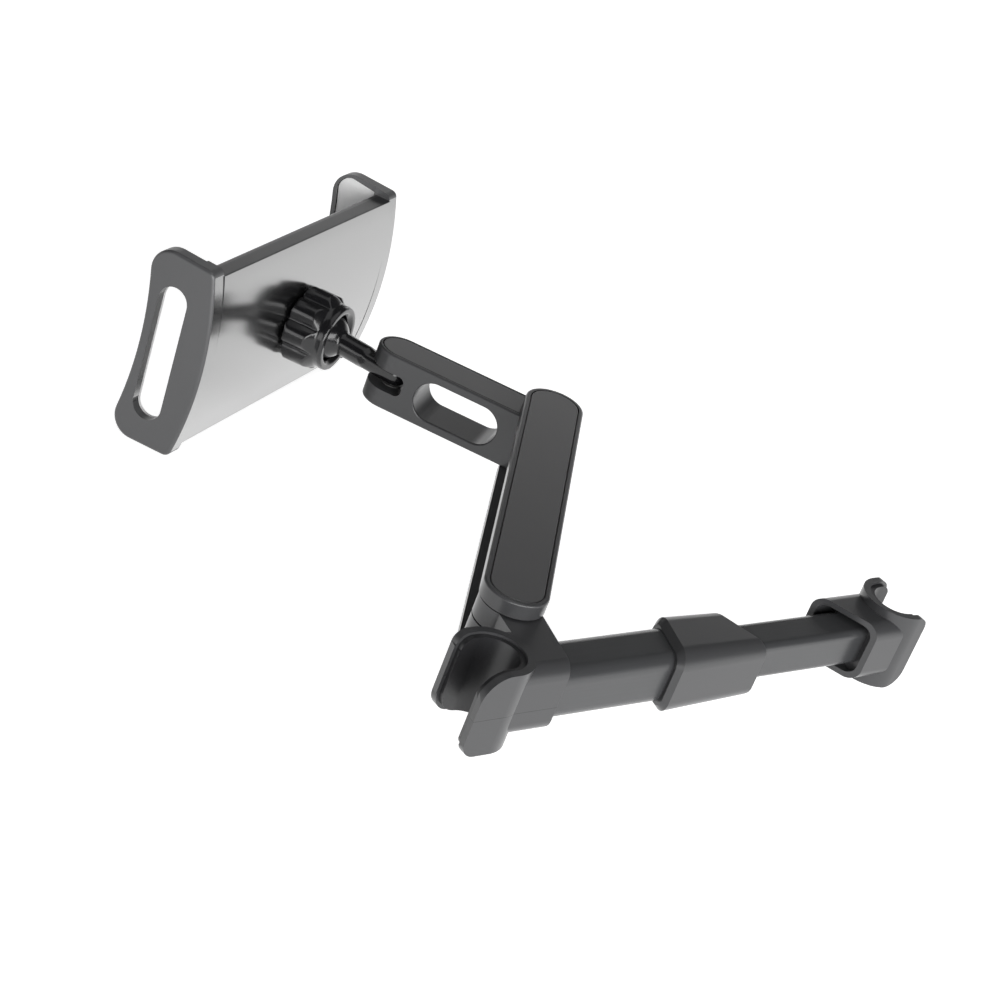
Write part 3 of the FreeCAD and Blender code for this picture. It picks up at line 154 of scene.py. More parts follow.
# The ball's centre, and the holder's own directions: across, towards the tablet, up.
BALL = Vector((0.067251, 0.185842, 0.003))
ACROSS = Vector((0.88862, 0.45865, 0.0))
TABLETWARD = Vector((-0.45802, 0.88740, -0.05234))
UPWARD = Vector((-0.0240, 0.0465, 0.9986))
HOLDER_BACKWARD = tuple(-part for part in TABLETWARD)

# Screws of the holder, from the ball: how far across, up and towards the tablet.
SCREW_ACROSS = 0.050
SCREW_UP = 0.022
SCREW_TOP = 0.0204
SCREW_HEAD_RADIUS = 0.0026
SCREW_HEAD_HEIGHT = 0.0010
SCREW_SHANK_RADIUS = 0.0013
SCREW_SHANK_LENGTH = 0.0050
SCREW_SIDES = 40
# Length of the cross recess, in radii of the head.
RECESS_REACH = 1.3

CORNERS = ((-1, -1), (1, -1), (1, 1), (-1, 1))

# Lamps: place from the mount's middle, height over the frame's origin, and size.
FRONT_LAMP = {"away": (-0.40, -1.6), "height": 0.42, "size": (2.6, 0.9)}
BACK_LAMP = {"away": (1.26, 1.32), "height": 0.50, "size": (1.3, 0.36)}
TOP_LAMP = {"away": (0.0, 0.0), "height": 1.6, "size": (1.6, 1.6)}

# The sky fades from white at the horizon to grey above: upward share, strength.
SKY_FADES = (0.06, 0.34)
SKY_STRENGTHS = (1.0, 0.065)

# The camera's place, and where its right, its down and its ahead point.
EYE = (-0.43915, -0.3866, 0.35205)
LOOK_RIGHT = (0.75299259, -0.57102807, 0.32700017)
LOOK_DOWN = (-0.05900962, -0.55353441, -0.83073312)
LOOK_AHEAD = (0.65537778, 0.60623973, -0.45050345)
LENS_MM = 88.42
SENSOR_MM = 36.0
NEAREST = 0.01


class MountFinish(bpy.types.PropertyGroup):
    """Colours and gloss of the plastic, the rubber, the pads and the tubes."""

    body_colour: bpy.props.FloatVectorProperty(
        name="Body colour",
        description="Colour of the clamps, arms and sleeve",
        subtype="COLOR",
        size=3,
        min=0.0,
        max=1.0,
        default=(0.045, 0.0455, 0.0475),
    )
    holder_colour: bpy.props.FloatVectorProperty(
        name="Holder colour",
        description="Colour of the jaws of the tablet holder",
        subtype="COLOR",
        size=3,
        min=0.0,
        max=1.0,
        default=(0.064, 0.0645, 0.067),
    )
    back_colour: bpy.props.FloatVectorProperty(
        name="Holder back colour",
        description="Colour of the holder's back shell, seen at its rim",
        subtype="COLOR",
        size=3,
        min=0.0,
        max=1.0,
        default=(0.026, 0.0265, 0.028),
    )
    cover_colour: bpy.props.FloatVectorProperty(
        name="Cover colour",
        description="Colour of the inlaid covers of both arms",
        subtype="COLOR",
        size=3,
        min=0.0,
        max=1.0,
        default=(0.060, 0.060, 0.0615),
    )
    rubber_colour: bpy.props.FloatVectorProperty(
        name="Rubber colour",
        description="Colour of the claw liners",
        subtype="COLOR",
        size=3,
        min=0.0,
        max=1.0,
        default=(0.018, 0.018, 0.0195),
    )
    pad_colour: bpy.props.FloatVectorProperty(
        name="Pad colour",
        description="Colour of the soft pads of the tablet holder",
        subtype="COLOR",
        size=3,
        min=0.0,
        max=1.0,
        default=(0.80, 0.80, 0.80),
    )
    tube_colour: bpy.props.FloatVectorProperty(
        name="Tube colour",
        description="Colour of the two sliding tubes",
        subtype="COLOR",
        size=3,
        min=0.0,
        max=1.0,
        default=(0.046, 0.047, 0.049),
    )
    body_roughness: bpy.props.FloatProperty(
        name="Body roughness",
        description="Roughness of the satin plastic",
        subtype="FACTOR",
        min=0.05,
        max=1.0,
        default=0.28,
    )
    holder_roughness: bpy.props.FloatProperty(
        name="Holder roughness",
        description="Roughness of the smooth back of the tablet holder",
        subtype="FACTOR",
        min=0.05,
        max=1.0,
        default=0.22,
    )
    grain_size: bpy.props.FloatProperty(
        name="Grain size",
        description="Width of one grain of the moulded texture",
        unit="LENGTH",
        min=0.0001,
        max=0.01,
        default=GRAIN_SIZE,
    )


class MountScrews(bpy.types.PropertyGroup):
    """Sizes of the cross recess of the holder screws."""

    recess_width: bpy.props.FloatProperty(
        name="Recess width",
        description="Width of one arm of the cross recess",
        unit="LENGTH",
        min=0.0002,
        max=0.003,
        default=0.0007,
    )
    recess_depth: bpy.props.FloatProperty(
        name="Recess depth",
        description="Depth of the cross recess",
        unit="LENGTH",
        min=0.0001,
        max=0.001,
        default=0.0005,
    )


class MountStage(bpy.types.PropertyGroup):
    """Floor and studio light."""

    floor_size: bpy.props.FloatProperty(
        name="Floor size",
        description="Width of the square floor",
        unit="LENGTH",
        min=1.0,
        max=50.0,
        default=16.0,
    )
    floor_glow: bpy.props.FloatProperty(
        name="Floor glow",
        description="White that the floor adds where the camera sees it",
        min=0.0,
        max=1.0,
        default=0.80,
    )
    mirror_glow: bpy.props.FloatProperty(
        name="Mirrored glow",
        description="White that the floor adds where gloss mirrors it",
        min=0.0,
        max=1.0,
        default=1.0,
    )
    front_power: bpy.props.FloatProperty(
        name="Front lamp",
        description="Power of the large soft lamp in front",
        unit="POWER",
        min=0.0,
        max=500.0,
        default=42.0,
    )
    back_power: bpy.props.FloatProperty(
        name="Back lamp",
        description="Power of the low soft lamp behind",
        unit="POWER",
        min=0.0,
        max=500.0,
        default=2.1,
    )
    top_power: bpy.props.FloatProperty(
        name="Top lamp",
        description="Power of the soft lamp above",
        unit="POWER",
        min=0.0,
        max=500.0,
        default=5.0,
    )


def new_group(name, inputs, outputs):
    """An empty shader node group with the named inputs and outputs."""
    group = bpy.data.node_groups.new(name, "ShaderNodeTree")
    for label, kind, value in inputs:
        socket = group.interface.new_socket(label, in_out="INPUT", socket_type=kind)
        if value is not None:
            socket.default_value = value
    for label in outputs:
        group.interface.new_socket(label, in_out="OUTPUT", socket_type=FLOAT)
    entry = group.nodes.new("NodeGroupInput")
    leave = group.nodes.new("NodeGroupOutput")
    return group, entry, leave


def maths(tree, operation, first, second=None, third=None):
    """A Math node: each value is a number or a socket. Returns its result."""
    node = tree.nodes.new("ShaderNodeMath")
    node.operation = operation
    for index, value in enumerate((first, second, third)):
        if value is None:
            continue
        if isinstance(value, (int, float)):
            node.inputs[index].default_value = value
        else:
            tree.links.new(value, node.inputs[index])
    return node.outputs[0]


def stretch(tree, value, low, high, out_low, out_high):
    """A smooth Map Range of value. Returns its result."""
    node = tree.nodes.new("ShaderNodeMapRange")
    node.interpolation_type = "SMOOTHSTEP"
    tree.links.new(value, node.inputs["Value"])
    node.inputs["From Min"].default_value = low
    node.inputs["From Max"].default_value = high
    node.inputs["To Min"].default_value = out_low
    node.inputs["To Max"].default_value = out_high
    return node.outputs["Result"]


def noise(tree, vector, scale, detail):
    """A Noise texture. The scale is a number or a socket. Returns its value."""
    node = tree.nodes.new("ShaderNodeTexNoise")
    tree.links.new(vector, node.inputs["Vector"])
    if isinstance(scale, (int, float)):
        node.inputs["Scale"].default_value = scale
    else:
        tree.links.new(scale, node.inputs["Scale"])
    node.inputs["Detail"].default_value = detail
    return node.outputs["Fac"]


def height_part(tree, vector):
    """The height in vector, along the frame's upright direction."""
    split = tree.nodes.new("ShaderNodeSeparateXYZ")
    tree.links.new(vector, split.inputs["Vector"])
    return split.outputs["Z"]


def moulded_grain_group():
    """Fine grain of a moulded face, with slow changes of tone and gloss."""
    group, entry, leave = new_group(
        "Moulded grain",
        [
            ("Vector", VECTOR, None),
            ("Grain size", FLOAT, GRAIN_SIZE),
            ("Tone change", FLOAT, TONE_CHANGE),
            ("Gloss change", FLOAT, GLOSS_CHANGE),
        ],
        ["Height", "Tone", "Gloss"],
    )
    place = entry.outputs["Vector"]
    per_metre = maths(group, "DIVIDE", 1.0, entry.outputs["Grain size"])
    fine = noise(group, place, per_metre, detail=3.0)
    patch = noise(group, place, PATCHES_PER_METRE, detail=4.0)
    smear = noise(group, place, SMEARS_PER_METRE, detail=5.0)
    group.links.new(fine, leave.inputs["Height"])
    drift = stretch(group, patch, *PATCH_FADES, -1.0, 1.0)
    speck = stretch(group, fine, *SPECK_FADES, -0.5, 0.5)
    both = maths(group, "ADD", drift, speck)
    tone = maths(group, "MULTIPLY_ADD", both, entry.outputs["Tone change"], 1.0)
    group.links.new(tone, leave.inputs["Tone"])
    rub = stretch(group, smear, *SMEAR_FADES, -1.0, 1.0)
    gloss = maths(group, "MULTIPLY", rub, entry.outputs["Gloss change"])
    group.links.new(gloss, leave.inputs["Gloss"])


def drawn_lines_group():
    """Fine lines along one direction, as drawing or turning leaves them."""
    group, entry, leave = new_group(
        "Drawn lines",
        [
            ("Vector", VECTOR, None),
            ("Stretch", VECTOR, ALONG_BAR),
            ("Lines", FLOAT, LINES_PER_METRE),
        ],
        ["Height", "Tone"],
    )
    scale = group.nodes.new("ShaderNodeVectorMath")
    scale.operation = "MULTIPLY"
    group.links.new(entry.outputs["Vector"], scale.inputs[0])
    group.links.new(entry.outputs["Stretch"], scale.inputs[1])
    drawn = scale.outputs["Vector"]
    lines = noise(group, drawn, entry.outputs["Lines"], detail=3.0)
    group.links.new(lines, leave.inputs["Height"])
    tone = stretch(group, lines, *LINE_FADES, *LINE_SHADES)
    group.links.new(tone, leave.inputs["Tone"])


def facing_group():
    """Mask of the faces that look along one direction."""
    group, entry, leave = new_group(
        "Facing", [("Direction", VECTOR, (0.0, 0.0, 1.0))], ["Mask"]
    )
    normal = group.nodes.new("ShaderNodeTexCoord").outputs["Normal"]
    dot = group.nodes.new("ShaderNodeVectorMath")
    dot.operation = "DOT_PRODUCT"
    group.links.new(normal, dot.inputs[0])
    group.links.new(entry.outputs["Direction"], dot.inputs[1])
    mask = stretch(group, dot.outputs["Value"], *FACING_FADES, 0.0, 1.0)
    group.links.new(mask, leave.inputs["Mask"])


def parting_group():
    """Mask of the thin line where the two halves of a mould meet."""
    group, entry, leave = new_group(
        "Parting line",
        [
            ("Vector", VECTOR, None),
            ("Level", FLOAT, 0.0),
            ("Width", FLOAT, PARTING_WIDTH),
        ],
        ["Mask"],
    )
    height = height_part(group, entry.outputs["Vector"])
    above = maths(group, "SUBTRACT", height, entry.outputs["Level"])
    away = maths(group, "ABSOLUTE", above)
    share = maths(group, "DIVIDE", away, entry.outputs["Width"])
    mask = stretch(group, share, *PARTING_FADES, 1.0, 0.0)
    group.links.new(mask, leave.inputs["Mask"])


def place_group(tree, name, values, vector=None):
    """The named group as a node with its own values. Returns the node."""
    node = tree.nodes.new("ShaderNodeGroup")
    node.node_tree = bpy.data.node_groups[name]
    for label, value in values.items():
        node.inputs[label].default_value = value
    if vector is not None:
        tree.links.new(vector, node.inputs["Vector"])
    return node


def tinted(tree, colour, lift):
    """The colour times the grey value lift. Returns the result's socket."""
    paint = tree.nodes.new("ShaderNodeMix")
    paint.data_type = "RGBA"
    paint.blend_type = "MULTIPLY"
    paint.inputs["Factor"].default_value = 1.0
    grey = tree.nodes.new("ShaderNodeCombineColor")
    for channel in ("Red", "Green", "Blue"):
        tree.links.new(lift, grey.inputs[channel])
    first, second = [s for s in paint.inputs if s.type == "RGBA"]
    first.default_value = (*colour, 1.0)
    tree.links.new(grey.outputs["Color"], second)
    return [s for s in paint.outputs if s.type == "RGBA"][0]


def new_material(name):
    """A material with an empty node tree and its output node."""
    material = bpy.data.materials.new(name)
    material.use_nodes = True
    tree = material.node_tree
    tree.nodes.clear()
    return material, tree, tree.nodes.new("ShaderNodeOutputMaterial")


def new_finish(
    name,
    colour,
    roughness,
    grain,
    tone=TONE_CHANGE,
    depth=GRAIN_DEPTH_MM,
    lines=None,
    polished=None,
    parting=None,
    **shader,
):
    """A material of one finish. grain is the width of a grain in metres, depth its
    depth in mm and tone its change of tone. lines draws fine lines out along an axis,
    polished coats the faces that look that way, and parting is the level of the
    mould's parting line. Any other value goes to the shader's input of that name."""
    material, tree, output = new_material(name)
    surface = tree.nodes.new("ShaderNodeBsdfPrincipled")
    tree.links.new(surface.outputs["BSDF"], output.inputs["Surface"])
    where = tree.nodes.new("ShaderNodeTexCoord").outputs["Object"]
    for label, value in shader.items():
        surface.inputs[label.replace("_", " ")].default_value = value
    values = {"Grain size": grain, "Tone change": tone}
    moulded = place_group(tree, "Moulded grain", values, where)
    lift = moulded.outputs["Tone"]
    height = moulded.outputs["Height"]
    rough = maths(tree, "ADD", moulded.outputs["Gloss"], roughness)
    if lines is not None:
        drawn = place_group(tree, "Drawn lines", {"Stretch": lines}, where)
        lift = maths(tree, "MULTIPLY", lift, drawn.outputs["Tone"])
        height = drawn.outputs["Height"]
    if parting is not None:
        line = place_group(tree, "Parting line", {"Level": parting}, where)
        mask = line.outputs["Mask"]
        shade = maths(tree, "MULTIPLY_ADD", mask, -PARTING_SHADE, 1.0)
        lift = maths(tree, "MULTIPLY", lift, shade)
        sunk = maths(tree, "MULTIPLY", mask, -PARTING_DEPTH)
        height = maths(tree, "ADD", height, sunk)
    if polished is not None:
        facing = place_group(tree, "Facing", {"Direction": polished})
        mask = facing.outputs["Mask"]
        coat = maths(tree, "MULTIPLY_ADD", mask, BACK_COAT, SIDE_COAT)
        tree.links.new(coat, surface.inputs["Coat Weight"])
        shade = maths(tree, "MULTIPLY_ADD", mask, -BACK_SHADE, 1.0)
        lift = maths(tree, "MULTIPLY", lift, shade)
        satin = maths(tree, "MULTIPLY_ADD", mask, -SIDE_ROUGHER, SIDE_ROUGHER)
        rough = maths(tree, "ADD", rough, satin)
    tree.links.new(tinted(tree, colour, lift), surface.inputs["Base Color"])
    tree.links.new(rough, surface.inputs["Roughness"])
    bump = tree.nodes.new("ShaderNodeBump")
    bump.inputs["Strength"].default_value = 1.0
    bump.inputs["Distance"].default_value = depth * MM
    tree.links.new(height, bump.inputs["Height"])
    tree.links.new(bump.outputs["Normal"], surface.inputs["Normal"])
    return material


def dress(names, material):
    """Gives the material to the CAD nodes of those names."""
    for name in names:
        node = nodes[name]
        if not node.material_slots:
            node.data.materials.append(material)
        for place in node.material_slots:
            place.material = material


class MOUNT_OT_finishes(bpy.types.Operator):
    """Make every finish and give it to its parts"""

    bl_idname = "mount.finishes"
    bl_label = "Finishes"

    def execute(self, context):
        moulded_grain_group()
        drawn_lines_group()
        facing_group()
        parting_group()
        look = context.scene.mount_finish
        self.dress_plastics(look)
        self.dress_holder(look)
        self.dress_metals(look)
        return {"FINISHED"}

    def dress_plastics(self, look):
        grain = look.grain_size
        rough = look.body_roughness
        body = new_finish("Satin black plastic", look.body_colour, rough, grain)
        dress(SATIN_NODES, body)
        clamp = new_finish(
            "Clamp plastic", look.body_colour, rough, grain, parting=PARTING_LEVEL
        )
        dress(CLAMP_NODES, clamp)
        cover = new_finish(
            "Matte cover plastic",
            look.cover_colour,
            roughness=rough + COVER_ROUGHER,
            grain=grain * COVER_GRAIN,
            depth=0.001,
        )
        dress(COVER_NODES, cover)
        rubber = new_finish(
            "Black rubber",
            look.rubber_colour,
            roughness=0.36,
            grain=grain * RUBBER_GRAIN,
            tone=0.1,
            depth=0.006,
        )
        dress(RUBBER_NODES, rubber)
        gloss = new_finish(
            GLOSS_FINISH,
            GLOSS_COLOUR,
            roughness=0.19,
            grain=grain,
            tone=0.08,
            depth=0.003,
            Coat_Weight=0.2,
            Coat_Roughness=0.12,
        )
        dress(GLOSS_NODES, gloss)
        nylon = new_finish("Black nylon", NYLON_COLOUR, roughness=0.5, grain=grain)
        dress(NYLON_NODES, nylon)

    def dress_holder(self, look):
        for label, colour, names in (
            ("Holder plastic", look.holder_colour, JAW_NODES),
            (BACK_FINISH, look.back_colour, BACK_NODES),
        ):
            holder = new_finish(
                label,
                colour,
                look.holder_roughness,
                look.grain_size,
                tone=0.05,
                polished=HOLDER_BACKWARD,
                Coat_Roughness=0.18,
                Coat_IOR=2.95,
            )
            dress(names, holder)
        pad = new_finish(
            "Soft grey pad",
            look.pad_colour,
            roughness=0.60,
            grain=look.grain_size,
            tone=0.04,
            depth=0.02,
        )
        dress(PAD_NODES, pad)

    def dress_metals(self, look):
        grain = look.grain_size
        tube = new_finish(
            "Black anodised tube",
            look.tube_colour,
            roughness=0.24,
            grain=grain,
            depth=0.0002,
            lines=ALONG_BAR,
        )
        dress(TUBE_NODES, tube)
        steel = new_finish(
            "Turned steel",
            STEEL_COLOUR,
            roughness=0.30,
            grain=grain,
            depth=0.006,
            lines=ALONG_PINS,
            Metallic=1.0,
        )
        dress(STEEL_NODES, steel)
        new_finish(
            SCREW_FINISH, SCREW_COLOUR, roughness=0.34, grain=grain, Metallic=1.0
        )


def new_piece(name, mesh):
    """A piece of that name with the mesh, in the scene."""
    piece = bpy.data.objects.new(name, mesh)
    bpy.context.scene.collection.objects.link(piece)
    return piece


def piece_from(shape, name):
    """A piece with the edited shape, which is freed."""
    mesh = bpy.data.meshes.new(name)
    shape.to_mesh(mesh)
    shape.free()
    return new_piece(name, mesh)


def merged_copy(node, name):
    """A new piece with the node's mesh, its loose triangles joined."""
    shape = bmesh.new()
    shape.from_mesh(nodes[node].data)
    bmesh.ops.remove_doubles(shape, verts=shape.verts, dist=MERGE_DISTANCE)
    return piece_from(shape, name)


def bake_modifiers(piece):
    """Replaces the piece's mesh by what its modifiers make, and removes them."""
    graph = bpy.context.evaluated_depsgraph_get()
    made = bpy.data.meshes.new_from_object(piece.evaluated_get(graph))
    piece.modifiers.clear()
    old = piece.data
    piece.data = made
    made.name = piece.name
    bpy.data.meshes.remove(old)


def paint_piece(piece, finish):
    """Gives the piece the named finish alone."""
    piece.data.materials.clear()
    piece.data.materials.append(bpy.data.materials[finish])


def hand_over(piece, body, slot, *replaced):
    """Lets the piece ride on its body in place of the CAD nodes."""
    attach(piece, body)
    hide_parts(*replaced)


def softened(node, name, finish, rounds):
    """A copy of the node with edges as soft as a tumbled moulding's."""
    piece = merged_copy(node, name)
    remesh = piece.modifiers.new("Even skin", "REMESH")
    remesh.mode = "VOXEL"
    remesh.voxel_size = VOXEL_SIZE
    remesh.use_smooth_shade = True
    smooth = piece.modifiers.new("Soft edges", "SMOOTH")
    smooth.factor = SMOOTH_FACTOR
    smooth.iterations = rounds
    bake_modifiers(piece)
    paint_piece(piece, finish)
    return piece


class MOUNT_OT_ball_joint(bpy.types.Operator):
    """Make the softly rounded stem of the ball and the lobed knob around it"""

    bl_idname = "mount.ball_joint"
    bl_label = "Ball stem and knob"

    def execute(self, context):
        stem = softened("ball_stem", "ball_stem_rounded", GLOSS_FINISH, STEM_ROUNDS)
        hand_over(stem, "stem", "black_plastic", "ball_stem")
        knob = softened("knob_nut", "knob_nut_rounded", GLOSS_FINISH, KNOB_ROUNDS)
        hand_over(knob, "knob", "black_plastic", "knob_nut")
        return {"FINISHED"}


def bridge(shape, first, second):
    """Joins two rings of corners with a band of faces."""
    for index in range(len(first)):
        after = (index + 1) % len(first)
        corners = (first[index], first[after], second[after], second[index])
        shape.faces.new(corners)


def sheet_rim(grid):
    """The outer corners of a grid of corners, once round."""
    ring = list(grid[0]) + [row[-1] for row in grid[1:]]
    ring += list(reversed(grid[-1][:-1]))
    return ring + [row[0] for row in reversed(grid[1:-1])]


def closed_sheet(name, rows, columns, front, back):
    """A closed sheet between two surfaces over the same rows and columns."""
    shape = bmesh.new()
    grids = []
    for surface in (front, back):
        grid = []
        for row in rows:
            grid.append([shape.verts.new(surface(row, column)) for column in columns])
        grids.append(grid)
    for grid in grids:
        for low, high in zip(grid, grid[1:]):
            for index in range(len(columns) - 1):
                after = index + 1
                corners = (low[index], low[after], high[after], high[index])
                shape.faces.new(corners)
    bridge(shape, sheet_rim(grids[0]), sheet_rim(grids[1]))
    bmesh.ops.recalc_face_normals(shape, faces=shape.faces)
    return piece_from(shape, name)


class MOUNT_OT_holder_back(bpy.types.Operator):
    """Make the bowed skin that lies on the holder's back, flush with its jaws"""

    bl_idname = "mount.holder_back"
    bl_label = "Holder back"

    # How far from the ball each face starts, and the radius of its bow.
    PLATE_APEX = 0.0112
    PLATE_BOW = 0.157
    SKIN_APEX = 0.01018
    SKIN_BOW = 0.133
    HALF_LENGTH = 0.05855
    HALF_HEIGHT = 0.03040
    # How deep the skin's inner face lies in the plate.
    EMBEDDED = 0.0003
    # Hole round the socket's cup: its cutter starts before the skin, ends beyond.
    HOLE_RADIUS = 0.0104
    HOLE_SIDES = 96
    CUT_BEFORE = 0.002
    CUT_BEYOND = 0.003
    ROWS = 48
    COLUMNS = 60
    SHARP_DEGREES = 30

    def execute(self, context):
        rows = self.steps(self.HALF_HEIGHT, self.ROWS)
        columns = self.steps(self.HALF_LENGTH, self.COLUMNS)
        skin = closed_sheet(
            "holder_back_skin", rows, columns, self.outside, self.inside
        )
        cutter = self.hole_cutter()
        cut = skin.modifiers.new("Hole for the cup", "BOOLEAN")
        cut.operation = "DIFFERENCE"
        cut.object = cutter
        cut.solver = "EXACT"
        bake_modifiers(skin)
        bpy.data.objects.remove(cutter)
        faces = skin.data.polygons
        faces.foreach_set("use_smooth", [True] * len(faces))
        skin.data.set_sharp_from_angle(angle=math.radians(self.SHARP_DEGREES))
        paint_piece(skin, BACK_FINISH)
        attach(skin, "holder")
        return {"FINISHED"}

    def steps(self, half, count):
        """Even steps from -half to half."""
        return [half * (2 * index / count - 1) for index in range(count + 1)]

    def bow(self, height, radius):
        """How far a bow of that radius falls back at that height."""
        return radius - math.sqrt(radius * radius - height * height)

    def outside(self, height, across):
        depth = self.SKIN_APEX + self.bow(height, self.SKIN_BOW)
        return BALL + ACROSS * across + UPWARD * height + TABLETWARD * depth

    def inside(self, height, across):
        depth = self.PLATE_APEX + self.bow(height, self.PLATE_BOW) + self.EMBEDDED
        return BALL + ACROSS * across + UPWARD * height + TABLETWARD * depth

    def hole_cutter(self):
        """A round bar through the skin, where the cup stands."""
        shape = bmesh.new()
        ends = []
        starts = self.SKIN_APEX - self.CUT_BEFORE
        stops = self.PLATE_APEX + self.CUT_BEYOND
        for depth in (starts, stops):
            ring = []
            for index in range(self.HOLE_SIDES):
                angle = 2 * math.pi * index / self.HOLE_SIDES
                spoke = ACROSS * math.cos(angle) + UPWARD * math.sin(angle)
                place = BALL + TABLETWARD * depth + spoke * self.HOLE_RADIUS
                ring.append(shape.verts.new(place))
            ends.append(ring)
            shape.faces.new(ring)
        bridge(shape, *ends)
        bmesh.ops.recalc_face_normals(shape, faces=shape.faces)
        return piece_from(shape, "cup_hole")


class MOUNT_OT_screws(bpy.types.Operator):
    """Make the four cross recess screws of the holder with Geometry Nodes"""

    bl_idname = "mount.screws"
    bl_label = "Holder screws"

    def execute(self, context):
        sizes = context.scene.mount_screws
        places = [
            BALL
            + ACROSS * (SCREW_ACROSS * across)
            + UPWARD * (SCREW_UP * up)
            + TABLETWARD * SCREW_TOP
            for across, up in CORNERS
        ]
        mesh = bpy.data.meshes.new("holder_screws_recessed")
        mesh.from_pydata([tuple(place) for place in places], [], [])
        piece = new_piece("holder_screws_recessed", mesh)
        turn = Matrix((ACROSS, TABLETWARD.cross(ACROSS), TABLETWARD)).transposed()
        values = {
            "Head radius": SCREW_HEAD_RADIUS,
            "Head height": SCREW_HEAD_HEIGHT,
            "Shank radius": SCREW_SHANK_RADIUS,
            "Shank length": SCREW_SHANK_LENGTH,
            "Recess width": sizes.recess_width,
            "Recess depth": sizes.recess_depth,
            "Turn": tuple(turn.to_euler()),
            "Finish": bpy.data.materials[SCREW_FINISH],
        }
        tree = self.screw_tree()
        modifier = piece.modifiers.new("Screws", "NODES")
        modifier.node_group = tree
        for socket in tree.interface.items_tree:
            if socket.name in values:
                modifier[socket.identifier] = values[socket.name]
        bake_modifiers(piece)
        hand_over(piece, "holder", "steel_pin", "holder_screws")
        return {"FINISHED"}

    def screw_tree(self):
        """Geometry Nodes that set one screw, its top at the point, on each point."""
        tree = bpy.data.node_groups.new("Cross recess screws", "GeometryNodeTree")
        face = tree.interface
        face.new_socket("Geometry", in_out="INPUT", socket_type="NodeSocketGeometry")
        for label in (
            "Head radius",
            "Head height",
            "Shank radius",
            "Shank length",
            "Recess width",
            "Recess depth",
        ):
            face.new_socket(label, in_out="INPUT", socket_type=FLOAT)
        face.new_socket("Turn", in_out="INPUT", socket_type=VECTOR)
        face.new_socket("Finish", in_out="INPUT", socket_type="NodeSocketMaterial")
        face.new_socket("Geometry", in_out="OUTPUT", socket_type="NodeSocketGeometry")
        entry = tree.nodes.new("NodeGroupInput").outputs
        leave = tree.nodes.new("NodeGroupOutput")
        link = tree.links.new

        def rod(radius, height, lowered):
            made = tree.nodes.new("GeometryNodeMeshCylinder")
            made.inputs["Vertices"].default_value = SCREW_SIDES
            link(radius, made.inputs["Radius"])
            link(height, made.inputs["Depth"])
            moved = tree.nodes.new("GeometryNodeTransform")
            shift = tree.nodes.new("ShaderNodeCombineXYZ")
            link(lowered, shift.inputs["Z"])
            link(made.outputs["Mesh"], moved.inputs["Geometry"])
            link(shift.outputs["Vector"], moved.inputs["Translation"])
            return moved.outputs["Geometry"]

        def bar(long_side, wide_side, deep):
            made = tree.nodes.new("GeometryNodeMeshCube")
            size = tree.nodes.new("ShaderNodeCombineXYZ")
            link(long_side, size.inputs["X"])
            link(wide_side, size.inputs["Y"])
            link(deep, size.inputs["Z"])
            link(size.outputs["Vector"], made.inputs["Size"])
            return made.outputs["Mesh"]

        head_low = maths(tree, "MULTIPLY", entry["Head height"], -0.5)
        head = rod(entry["Head radius"], entry["Head height"], head_low)
        shank_half = maths(tree, "MULTIPLY", entry["Shank length"], -0.5)
        shank_low = maths(tree, "SUBTRACT", shank_half, entry["Head height"])
        shank = rod(entry["Shank radius"], entry["Shank length"], shank_low)
        reach = maths(tree, "MULTIPLY", entry["Head radius"], RECESS_REACH)
        # The bars are centred on the head's top, so half of each cuts into it.
        deep = maths(tree, "MULTIPLY", entry["Recess depth"], 2.0)
        cut = tree.nodes.new("GeometryNodeMeshBoolean")
        cut.operation = "DIFFERENCE"
        link(head, cut.inputs["Mesh 1"])
        link(bar(reach, entry["Recess width"], deep), cut.inputs["Mesh 2"])
        link(bar(entry["Recess width"], reach, deep), cut.inputs["Mesh 2"])
        join = tree.nodes.new("GeometryNodeJoinGeometry")
        link(cut.outputs["Mesh"], join.inputs["Geometry"])
        link(shank, join.inputs["Geometry"])
        place = tree.nodes.new("GeometryNodeInstanceOnPoints")
        link(entry["Geometry"], place.inputs["Points"])
        link(join.outputs["Geometry"], place.inputs["Instance"])
        link(entry["Turn"], place.inputs["Rotation"])
        real = tree.nodes.new("GeometryNodeRealizeInstances")
        link(place.outputs["Instances"], real.inputs["Geometry"])
        paint = tree.nodes.new("GeometryNodeSetMaterial")
        link(real.outputs["Geometry"], paint.inputs["Geometry"])
        link(entry["Finish"], paint.inputs["Material"])
        link(paint.outputs["Geometry"], leave.inputs["Geometry"])
        return tree


def new_lamp(name, lamp, middle, power):
    """A rectangular soft lamp that shines at the middle of the mount."""
    data = bpy.data.lights.new(name, "AREA")
    data.shape = "RECTANGLE"
    data.size, data.size_y = lamp["size"]
    data.energy = power
    right, back = lamp["away"]
    place = Vector((middle.x + right, middle.y + back, lamp["height"]))
    stand = bpy.data.objects.new(name, data)
    stand.location = place
    stand.rotation_mode = "QUATERNION"
    stand.rotation_quaternion = (middle - place).to_track_quat("-Z", "Y")
    stand.visible_camera = False
    bpy.context.scene.collection.objects.link(stand)


